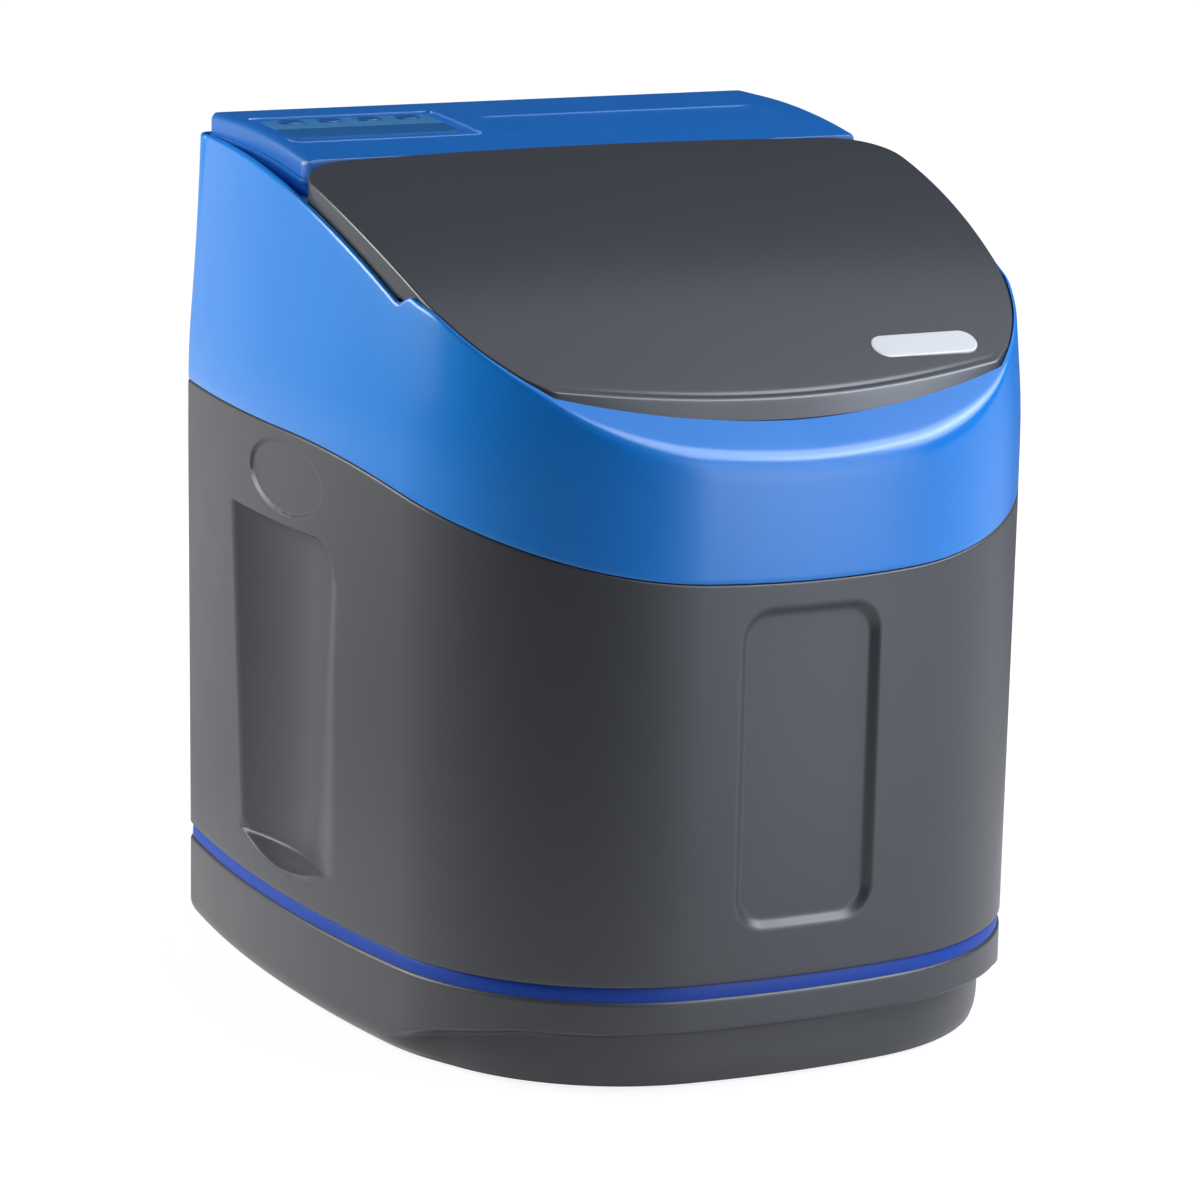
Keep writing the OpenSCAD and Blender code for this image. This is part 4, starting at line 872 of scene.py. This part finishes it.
def make_lid():
    """Crowned top, a ridge with a band under it along the front, a skirt along the sides."""
    columns = lid_plan()
    x, y = columns[:2]
    forward = smoothstep((-130 - y) / 25)
    taper = forward * np.sqrt(np.clip(1 - (x / 150) ** 2, 0, 1))
    ridge_d = 4.8 * taper
    round_r = 1.7 - 0.8 * forward
    low = lid_under(y)
    valley_d = ridge_d + round_r + 2.4

    def lid_row(inset):
        place = at_inset(columns, inset, TOP_Z)[:, :2]
        dip = 0.55 * taper * np.exp(-((inset - valley_d) / 1.2) ** 2)
        return np.column_stack([place, lid_height(place[:, 0], place[:, 1]) - dip])

    field = at_inset(columns, ridge_d + round_r + 8, TOP_Z)[:, :2]
    rows = []
    for share in np.concatenate([[0.02], np.linspace(0.08, 1.0, 30)]):
        place = LID_CENTRE + share * (field - LID_CENTRE)
        rows.append(np.column_stack([place, lid_height(place[:, 0], place[:, 1])]))
    for past in (6.5, 5.2, 4.2, 3.5, 2.9, 2.4, 1.9, 1.4, 0.9, 0.4, 0.0):
        rows.append(lid_row(ridge_d + round_r + past))
    start = lid_row(ridge_d + round_r)
    ridge = lid_row(ridge_d)
    lip_low = np.where(y > NOTCH_Y + 4, np.minimum(low, wall_top(y) - 0.8), low)
    foot = at_inset(columns, 0.0, lip_low + 0.5)
    fall = foot - ridge
    stop = ridge + fall * np.minimum(round_r / np.linalg.norm(fall, axis=1), 0.6)[:, None]
    for t in np.linspace(0, 1, 9)[1:]:
        rows.append((1 - t) ** 2 * start + 2 * t * (1 - t) * ridge + t ** 2 * stop)
    for t in (0.3, 0.65, 1.0):
        rows.append(stop + t * (foot - stop))
    for inset, height in ((0.12, lip_low + 0.15), (0.45, lip_low), (0.85, lip_low)):
        rows.append(at_inset(columns, inset, height))
    for inset in (0.9, LID_T):
        place_y = at_inset(columns, inset, TOP_Z)[:, 1]
        rows.append(at_inset(columns, inset, np.maximum(low, lid_under(place_y))))
    inner = at_inset(columns, ridge_d + round_r + LID_T, TOP_Z)[:, :2]
    inner_z = lid_height(inner[:, 0], inner[:, 1]) - LID_T
    rows.append(np.column_stack([inner, np.maximum(inner_z - 1.0, low)]))
    for share in np.linspace(0.98, 0.04, 12):
        place = LID_CENTRE + share * (inner - LID_CENTRE)
        rows.append(np.column_stack([place, lid_height(place[:, 0], place[:, 1]) - LID_T]))
    lid = capped_object("lid_skin", rows)
    slots = []
    for s in (-1, 1):
        ends = sorted([s * (EAR_X - 0.5), s * (EAR_X + EAR_W + 0.6)])
        slots.append(box_object("slot", (ends[0], HINGE_Y - 8, 455), (ends[1], LID_EDGE + 2, TOP_Z - 12)))
    combine(lid, "DIFFERENCE", slots)
    ears = ear_plates(EAR_X - EAR_W, EAR_X - 0.5, 4.5, float(lid_height(EAR_X, HINGE_Y)) - 1.5)
    join(lid, ears)
    finish_piece(lid, GREY_LID, "lid", ["lid"])


def make_badge():
    """Bare white pill let into the lid."""
    low, high = node_box("badge")
    mid_x, mid_y = (low[0] + high[0]) / 2, (low[1] + high[1]) / 2
    half_l, half_h = (high[0] - low[0]) / 2, 9.0
    turn = np.radians(np.linspace(-90, 90, 33))
    right = np.stack([half_l - half_h + half_h * np.cos(turn), half_h * np.sin(turn)], 1)
    loop = np.concatenate([right, -right])
    outward = np.concatenate([np.stack([np.cos(turn), np.sin(turn)], 1)] * 2)
    outward[len(turn):] *= -1
    tilt = math.asin((TOP_FLAT - mid_y) / TOP_R)
    reach = TOP_R - 1 + LID_CROWN * (1 - (mid_x / LID_X) ** 2)
    centre = np.array([mid_x, TOP_FLAT - reach * math.sin(tilt), TOP_Z - TOP_R + reach * math.cos(tilt)])
    along_v = np.array([0, math.cos(tilt), math.sin(tilt)])
    along_n = np.array([0, -math.sin(tilt), math.cos(tilt)])

    def ring(inset, height):
        flat = loop - outward * inset
        return centre + flat[:, :1] * [1, 0, 0] + flat[:, 1:] * along_v + height * along_n

    profile = [(0.0, -0.8), (0.0, 0.3), (0.15, 0.55), (0.5, 0.74),
               (1.0, 0.8), (3.0, 0.86), (5.0, 0.9), (8.6, 0.92)]
    badge = capped_object("badge_skin", [ring(d, h) for d, h in profile])
    finish_piece(badge, BADGE_WHITE, "lid", ["badge"])


# Head cover

FLAT_W, FLAT_D, FLAT_T = 190.0, 44.0, 1.0
FLAT_MID = np.array([155 - FLAT_W / 2, COVER_FRONT + 62])
PANEL_TILT = math.asin((TOP_FLAT - PANEL[1]) / TOP_R)


def on_panel(u, v, height):
    """Points on the display panel's sloping face, height measured from the bezel's face."""
    base = np.array([PANEL[0], PANEL[1], float(top(PANEL[1])) - PANEL_SINK])
    along_v = np.array([0, math.cos(PANEL_TILT), math.sin(PANEL_TILT)])
    along_n = np.array([0, -math.sin(PANEL_TILT), math.cos(PANEL_TILT)])
    u, v, height = np.broadcast_arrays(u, v, height)
    return base + u[..., None] * np.array([1, 0, 0]) + v[..., None] * along_v + height[..., None] * along_n


def cover_height(x, y):
    """Top of the head cover with the display panel's seat and the shallow flat beside it."""
    plain = top(y)
    panel = rounded_box_distance(x - PANEL[0], y - PANEL[1], PANEL_W / 2 + 0.2, PANEL_D / 2 + 0.2, 5.0)
    floor = top(PANEL[1]) - PANEL_SINK - BEZEL_T + (y - PANEL[1]) * math.tan(PANEL_TILT)
    flat = rounded_box_distance(x - FLAT_MID[0], y - FLAT_MID[1], FLAT_W / 2, FLAT_D / 2, 6.0)
    shallow = plain - FLAT_T * smoothstep(-flat / 1.2)
    sunk = smoothstep(-panel / 0.6 + 0.3)
    return shallow + (floor - shallow) * sunk


def close_lines(low, high, step, fine_places, reach=2.0, fine=0.35):
    """Grid lines from low to high, close together near the given places."""
    lines = [np.linspace(low, high, int((high - low) / step) + 1)]
    for place in fine_places:
        lines.append(np.arange(place - reach, place + reach, fine))
    lines = np.unique(np.clip(np.concatenate(lines), low, high))
    keep = np.concatenate([[True], np.diff(lines) > 0.2])
    return lines[keep]


def cover_grid(half_x, y_low, y_high, corner):
    """Grid over a rounded rectangle, with its corner squares bent onto quarter discs."""
    panel_x = [PANEL[0] - PANEL_W / 2, PANEL[0] + PANEL_W / 2]
    flat_x = [FLAT_MID[0] - FLAT_W / 2, FLAT_MID[0] + FLAT_W / 2]
    panel_y = [PANEL[1] - PANEL_D / 2, PANEL[1] + PANEL_D / 2]
    flat_y = [FLAT_MID[1] - FLAT_D / 2, FLAT_MID[1] + FLAT_D / 2]
    xs = close_lines(-half_x, half_x, 4.0, panel_x + flat_x)
    ys = close_lines(y_low, y_high, 3.0, panel_y + flat_y)
    x, y = np.meshgrid(xs, ys)
    over_x = np.maximum(np.abs(x) - (half_x - corner), 0) / corner
    mid_y, half_y = (y_low + y_high) / 2, (y_high - y_low) / 2
    over_y = np.maximum(np.abs(y - mid_y) - (half_y - corner), 0) / corner
    shrink = np.maximum(over_x, over_y) / np.maximum(np.hypot(over_x, over_y), 1e-9)
    in_corner = (over_x > 0) & (over_y > 0)
    bent_x = np.sign(x) * (half_x - corner + corner * over_x * shrink)
    bent_y = mid_y + np.sign(y - mid_y) * (half_y - corner + corner * over_y * shrink)
    return np.where(in_corner, bent_x, x), np.where(in_corner, bent_y, y)


def make_cover():
    """Curved top with wide rounded sides, a short wall and a narrow lip at the wall's foot."""
    side_r, end_r, corner = 4.0, 0.5, 2.0
    half_x = COVER_X - side_r
    front, back = COVER_FRONT - 0.5 + end_r, COVER_BACK - end_r
    x, y = cover_grid(half_x, front, back, corner)
    rows, columns = x.shape
    index = np.arange(rows * columns).reshape(rows, columns)
    border = np.concatenate([index[0, :-1], index[:-1, -1], index[-1, :0:-1], index[:0:-1, 0]])
    edge_x, edge_y = x.ravel()[border], y.ravel()[border]
    core_x = np.clip(edge_x, -(half_x - corner), half_x - corner)
    core_y = np.clip(edge_y, front + corner, back - corner)
    size = np.hypot(edge_x - core_x, edge_y - core_y)
    normal_x, normal_y = (edge_x - core_x) / size, (edge_y - core_y) / size
    side = normal_x ** 2
    edge_r = end_r + (side_r - end_r) * side
    rim = top(edge_y)
    foot = float(deck(LID_BACK)) + 0.3

    def loop(out, z):
        height = np.broadcast_to(z, edge_x.shape)
        return np.stack([edge_x + normal_x * out, edge_y + normal_y * out, height], 1)

    loops = []
    for turn in np.radians([15, 30, 45, 60, 75, 90]):
        loops.append(loop(edge_r * math.sin(turn), rim - edge_r * (1 - math.cos(turn))))
    wall_foot = rim - COVER_WALL_H
    outline_below = [(0.0, 0.3), (-0.5, 0.0), (-0.5, -0.7), (0.4, -0.8), (0.9, -1.1), (1.0, -1.6),
                     (1.0, -3.6), (0.7, -3.9), (-2.0, -4.0)]
    loops += [loop(edge_r + out * side, wall_foot + dz) for out, dz in outline_below]
    loops += [loop(edge_r - 2.0 * side, foot), loop(edge_r - 2.0 * side - COVER_T, foot),
              loop(edge_r - 2.0 * side - COVER_T, wall_foot), loop(edge_r - COVER_T, rim - COVER_T - side_r)]
    upper = np.stack([x, y, cover_height(x, y)], -1).reshape(-1, 3)
    lower = np.stack([x * 0.999, y, cover_height(x, y) - COVER_T], -1).reshape(-1, 3)
    points = np.concatenate([upper] + loops + [lower])
    faces = []
    grid = np.stack([index[:-1, :-1], index[:-1, 1:], index[1:, 1:], index[1:, :-1]], -1).reshape(-1, 4)
    faces += grid.tolist()
    around = len(border)
    rings = [border] + [len(upper) + k * around + np.arange(around) for k in range(len(loops))]
    rings.append(len(upper) + len(loops) * around + border)
    for inner, outer in zip(rings[:-1], rings[1:]):
        faces += np.stack([inner, outer, np.roll(outer, -1), np.roll(inner, -1)], 1).tolist()
    faces += (grid[:, ::-1] + len(upper) + len(loops) * around).tolist()
    cover = mesh_object("head_cover_skin", points, faces)
    # The cover gets the darker copy of the hood's blue: painted shade on its top.
    finish_piece(cover, BLUE_COVER_PAINTED_SHADE, "cover", ["head_cover"], crease=40)


def rounded_loop(half_u, half_v, radius, steps=10):
    """Places round a rounded rectangle about the origin."""
    loop = []
    for su, sv, start in ((1, 1, 0), (-1, 1, 90), (-1, -1, 180), (1, -1, 270)):
        turn = np.radians(np.linspace(start, start + 90, steps))
        loop.append(np.stack([su * (half_u - radius) + radius * np.cos(turn),
                              sv * (half_v - radius) + radius * np.sin(turn)], 1))
    return np.concatenate(loop)


def panel_plate(name, mid_v, half_u, half_v, radius, profile):
    """A plate on the display panel: profile is a list of inset and height."""
    rows = []
    for inset, height in profile:
        loop = rounded_loop(half_u - inset, half_v - inset, max(radius - inset, 0.3))
        rows.append(on_panel(loop[:, 0], loop[:, 1] + mid_v, height))
    return capped_object(name, rows)


BUTTON_PITCH, BUTTON_V, BUTTON_A, BUTTON_B = 25.0, PANEL_D / 2 - 16, 8.0, 5.0
BUTTON_NAMES = ("menu", "down", "up", "enter")


def button_oval(index, grow, heights_insets):
    """Loops of an oval button on the panel."""
    mid_u = (index - 1.5) * BUTTON_PITCH
    turn = np.linspace(0, 2 * np.pi, 48, endpoint=False)
    rows = []
    for inset, height in heights_insets:
        u = mid_u + (BUTTON_A + grow - inset) * np.cos(turn)
        v = BUTTON_V + (BUTTON_B + grow - inset) * np.sin(turn)
        rows.append(on_panel(u, v, height))
    return rows


def make_display():
    """Frame, a pale bead round it whose light colour is a painted highlight, a dark film over the display, a
    lighter film round the buttons, and the buttons.
    """
    rim = [(0.0, -BEZEL_T), (0.0, -0.5), (0.15, -0.15), (0.5, 0.0), (2.4, 0.0), (2.9, -0.3), (3.2, -0.3)]
    bezel = panel_plate("display_bezel_skin", 0, PANEL_W / 2, PANEL_D / 2, 5.0, rim)
    film_edge = [(0.0, -0.6), (0.0, 0.0), (0.15, 0.14), (0.5, 0.2)]
    film = panel_plate("button_film_skin", 16.5, 54.0, 13.0, 3.0, film_edge)
    for plate in (bezel, film):
        holes = [capped_object("hole", button_oval(k, 0.3, [(0, -5), (0, 3)])) for k in range(4)]
        combine(plate, "DIFFERENCE", holes)
    finish_piece(bezel, BLUE_BEZEL, "cover", ["display_bezel"])
    finish_piece(film, FILM_TEAL, "cover", [])
    # Bead round the panel's edge: its light colour is a painted highlight line.
    rows = []
    bead = [(0.35, -0.8), (0.35, 0.2), (0.6, 0.36), (0.9, 0.4), (1.2, 0.36), (1.45, 0.2), (1.45, -0.8)]
    for out, rise in bead:
        loop = PANEL + rounded_loop(PANEL_W / 2 + out, PANEL_D / 2 + out, 5.0 + out)
        sink = 1.2 * smoothstep((loop[:, 1] - PANEL[1] - 8) / 12)
        rows.append(np.column_stack([loop, np.minimum(top(loop[:, 1]) + rise, TOP_Z) - sink]))
    trim = ring_object("display_trim_skin", rows)
    finish_piece(trim, TRIM_PAINTED_HIGHLIGHT, "cover", [])
    window = panel_plate("display_window_skin", -10.5, 53.5, 13.5, 2.5,
                         [(0.0, -1.2), (0.0, 0.1), (0.2, 0.26), (0.7, 0.32), (6.0, 0.34)])
    finish_piece(window, WINDOW_DARK, "cover", ["display_window"])
    for k, name in enumerate(BUTTON_NAMES):
        profile = [(0.0, -0.8), (0.0, 0.6), (0.2, 0.9), (0.6, 1.08), (1.4, 1.16), (3.0, 1.2), (4.6, 1.2)]
        button = capped_object("button_" + name + "_skin", button_oval(k, 0, profile))
        finish_piece(button, BUTTON_BLUE, "button_" + name, ["button_" + name])


make_base()
make_stripe()
make_tub()
make_hood()
make_lid()
make_badge()
make_cover()
make_display()


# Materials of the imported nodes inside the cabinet

def finish_nodes():
    """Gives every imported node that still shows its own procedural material."""
    black = moulded_plastic("black_valve", (0.018, 0.018, 0.019), 0.38)
    rubber = moulded_plastic("rubber", (0.02, 0.02, 0.02), 0.75, grain=0.03, mottle=0.1)
    natural = moulded_plastic("natural_plastic", (0.72, 0.72, 0.68), 0.4)
    vessel = moulded_plastic("vessel_plastic", (0.3, 0.33, 0.36), 0.45, grain=0.02)
    steel = metal("screw_steel", (0.62, 0.62, 0.6), 0.32)
    board = moulded_plastic("board_green", (0.03, 0.16, 0.06), 0.35)
    beads = resin_beads("resin_beads")
    orange = moulded_plastic("float_orange", (0.6, 0.2, 0.04), 0.45)
    groups = {
        rubber: ["rubber_feet", "neck_seal"],
        steel: ["hood_screws", "hinge_pins", "drive_screw"],
        board: ["circuit_board"],
        beads: ["resin_bed"],
        vessel: ["resin_vessel"],
        orange: ["float"],
        black: ["power_socket", "overflow_fitting", "valve_body", "valve_end_cap", "motor_bracket",
                "drive_motor", "injector_cap", "blend_knob", "brine_elbow", "drain_spigot",
                "inlet_connector", "outlet_connector", "meter_cover", "piston"],
        natural: ["riser_tube", "upper_basket", "lower_basket", "seal_stack", "piston_rod", "injector",
                  "brine_line", "meter_turbine", "brine_well", "well_cap", "air_check", "float_rod",
                  "salt_grid"],
    }
    for material, names in groups.items():
        for name in names:
            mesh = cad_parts[name].data
            mesh.materials.clear()
            mesh.materials.append(material)


finish_nodes()


# Floor, studio light and camera

ROOM_FILL = 0.025
ROOM_GLOSS = 0.04
AIM_Z = 260


def maths(tree, operation, a, b):
    """A maths node over two values."""
    node = tree.nodes.new("ShaderNodeMath")
    node.operation = operation
    tree.links.new(a, node.inputs[0])
    tree.links.new(b, node.inputs[1])
    return node.outputs["Value"]


def vector_maths(tree, operation, vector, fixed=None):
    """Outputs of a vector maths node over a vector and, where it takes one, a fixed vector."""
    node = tree.nodes.new("ShaderNodeVectorMath")
    node.operation = operation
    tree.links.new(vector, node.inputs[0])
    if fixed:
        node.inputs[1].default_value = fixed
    return node.outputs


def background_rays(tree):
    """1 for rays that show the background: straight views, mirrored views and views through glass."""
    rays = tree.nodes.new("ShaderNodeLightPath").outputs
    direct = maths(tree, "MAXIMUM", rays["Is Camera Ray"], rays["Is Glossy Ray"])
    return maths(tree, "MAXIMUM", direct, rays["Is Transmission Ray"])


def facing_share(tree, direction, azimuth, start, end, level):
    """Rises from 0 to level as a direction turns towards an azimuth; start and end are cosines."""
    a = math.radians(azimuth)
    towards = vector_maths(tree, "DOT_PRODUCT", direction, (math.sin(a), -math.cos(a), 0))
    return map_range(tree, towards["Value"], start, end, 0.0, level)


def sweep_share(tree, where):
    """How white mirrored views find the set: bright at the right and behind at the left, dim elsewhere."""
    flat = vector_maths(tree, "MULTIPLY", where, (1, 1, 0))["Vector"]
    direction = vector_maths(tree, "NORMALIZE", flat)["Vector"]
    right = facing_share(tree, direction, 50, 0.35, 0.9, 1.0)
    behind = facing_share(tree, direction, -170, 0.7, 0.97, 0.6)
    return maths(tree, "MAXIMUM", right, behind)


def make_floor():
    """Pale floor that keeps a soft shadow and shows white round it."""
    size = 9000.0
    corners = [[-size, -size, 0], [size, -size, 0], [size, size, 0], [-size, size, 0]]
    floor = mesh_object("floor", corners, [[0, 1, 2, 3]])
    material, tree, shader = new_material("pale_floor")
    shader.inputs["Roughness"].default_value = 0.9
    shader.inputs["Specular IOR Level"].default_value = 0.0
    shader.inputs["Base Color"].default_value = (0.5, 0.5, 0.5, 1)
    seen = background_rays(tree)
    shadow = tree.nodes.new("ShaderNodeBsdfDiffuse")
    shadow.inputs["Color"].default_value = (0.3, 0.3, 0.3, 1)
    glow = tree.nodes.new("ShaderNodeEmission")
    glow.inputs["Color"].default_value = (1, 1, 1, 1)
    where = tree.nodes.new("ShaderNodeTexCoord").outputs["Object"]
    away = vector_maths(tree, "LENGTH", where)["Value"]
    fade = map_range(tree, away, 0.3, 1.3, 0.86, 1.0)
    near = map_range(tree, away, 0.35, 0.9, 1.0, ROOM_GLOSS)
    path = tree.nodes.new("ShaderNodeLightPath")
    swept = maths(tree, "MAXIMUM", near, sweep_share(tree, where))
    swept = maths(tree, "MAXIMUM", path.outputs["Is Camera Ray"], swept)
    tree.links.new(maths(tree, "MULTIPLY", fade, swept), glow.inputs["Strength"])
    white = tree.nodes.new("ShaderNodeAddShader")
    tree.links.new(shadow.outputs["BSDF"], white.inputs[0])
    tree.links.new(glow.outputs["Emission"], white.inputs[1])
    choose = tree.nodes.new("ShaderNodeMixShader")
    tree.links.new(seen, choose.inputs["Fac"])
    tree.links.new(shader.outputs["BSDF"], choose.inputs[1])
    tree.links.new(white.outputs["Shader"], choose.inputs[2])
    output = tree.nodes["Material Output"]
    tree.links.new(choose.outputs["Shader"], output.inputs["Surface"])
    floor.data.materials.append(material)


def make_world():
    """White for the camera, a dim room for light, and for mirrored views white only near the horizon."""
    world = bpy.data.worlds.new("studio")
    bpy.context.scene.world = world
    world.use_nodes = True
    tree = world.node_tree
    background = tree.nodes["Background"]
    background.inputs["Color"].default_value = (1, 1, 1, 1)
    path = tree.nodes.new("ShaderNodeLightPath")
    where = tree.nodes.new("ShaderNodeTexCoord").outputs["Generated"]
    parts = tree.nodes.new("ShaderNodeSeparateXYZ")
    tree.links.new(where, parts.inputs["Vector"])
    horizon = map_range(tree, parts.outputs["Z"], 0.0, 0.08, 1.0, ROOM_GLOSS)
    swept = maths(tree, "MULTIPLY", horizon, sweep_share(tree, where))
    mirrored = tree.nodes.new("ShaderNodeMix")
    mirrored.inputs["A"].default_value = ROOM_FILL
    tree.links.new(swept, mirrored.inputs["B"])
    tree.links.new(path.outputs["Is Glossy Ray"], mirrored.inputs["Factor"])
    direct = maths(tree, "MAXIMUM", path.outputs["Is Camera Ray"], path.outputs["Is Transmission Ray"])
    strength = tree.nodes.new("ShaderNodeMix")
    strength.inputs["B"].default_value = 1.0
    tree.links.new(mirrored.outputs["Result"], strength.inputs["A"])
    tree.links.new(direct, strength.inputs["Factor"])
    tree.links.new(strength.outputs["Result"], background.inputs["Strength"])


def facing_axes(azimuth, elevation):
    """Right, up and backward directions of what looks at the object from here; azimuth 0 is in front."""
    a, e = math.radians(azimuth), math.radians(elevation)
    back = np.array([math.sin(a) * math.cos(e), -math.cos(a) * math.cos(e), math.sin(e)])
    right = np.array([math.cos(a), math.sin(a), 0])
    return right, np.cross(back, right), back


def make_softbox(name, azimuth, elevation, distance, width, height, power, colour, diffuse=True):
    """A softbox that faces the object; without diffuse it only shows in reflections."""
    light = bpy.data.lights.new(name, "AREA")
    light.shape = "RECTANGLE"
    light.size = width * MM
    light.size_y = height * MM
    light.energy = power
    light.color = colour
    obj = bpy.data.objects.new(name, light)
    obj.visible_camera = False
    obj.visible_diffuse = diffuse
    bpy.context.collection.objects.link(obj)
    right, up, away = facing_axes(azimuth, elevation)
    place = np.array([0, 0, AIM_Z]) + distance * away
    obj.location = (place * MM).tolist()
    obj.rotation_mode = "QUATERNION"
    obj.rotation_quaternion = matrix_of(right, up, away).to_quaternion()


def matrix_of(right, up, back):
    """Rotation matrix with these columns."""
    return Matrix(np.stack([right, up, back], 1).tolist())


def make_camera():
    """Camera where the photograph was taken."""
    right, up, back = facing_axes(-26.69, 12.83)
    roll = math.radians(1.10)
    tilted_right = math.cos(roll) * right + math.sin(roll) * up
    tilted_up = -math.sin(roll) * right + math.cos(roll) * up
    data = bpy.data.cameras.new("photo_camera")
    data.sensor_width = 36.0
    data.lens = 148.01
    data.clip_end = 100
    camera = bpy.data.objects.new("photo_camera", data)
    bpy.context.collection.objects.link(camera)
    camera.location = (-1.2885, -2.5218, 0.8754)
    camera.rotation_mode = "QUATERNION"
    camera.rotation_quaternion = matrix_of(tilted_right, tilted_up, back).to_quaternion()
    bpy.context.scene.camera = camera


make_camera()
make_floor()
make_world()
make_softbox("front_strip", 21.4, 10.3, 1431, 775, 1000, 4.4, (0.88, 0.95, 1.08))
make_softbox("front_card", 21.4, 10.3, 1431, 775, 1000, 12.0, (0.9, 0.95, 1.06), diffuse=False)
make_softbox("edge_card", 42, 52, 2500, 1900, 1300, 54, (0.95, 0.97, 1.04), diffuse=False)
make_softbox("right_softbox", 58, 38, 2500, 1600, 1000, 38, (0.88, 0.95, 1.08))
make_softbox("left_softbox", -124, 20, 2500, 1200, 1400, 55, (1.0, 1.0, 1.0))
make_softbox("overhead_softbox", 85, 66, 2200, 1900, 1900, 9, (0.94, 0.97, 1.03))
bpy.context.scene.view_settings.view_transform = "Standard"
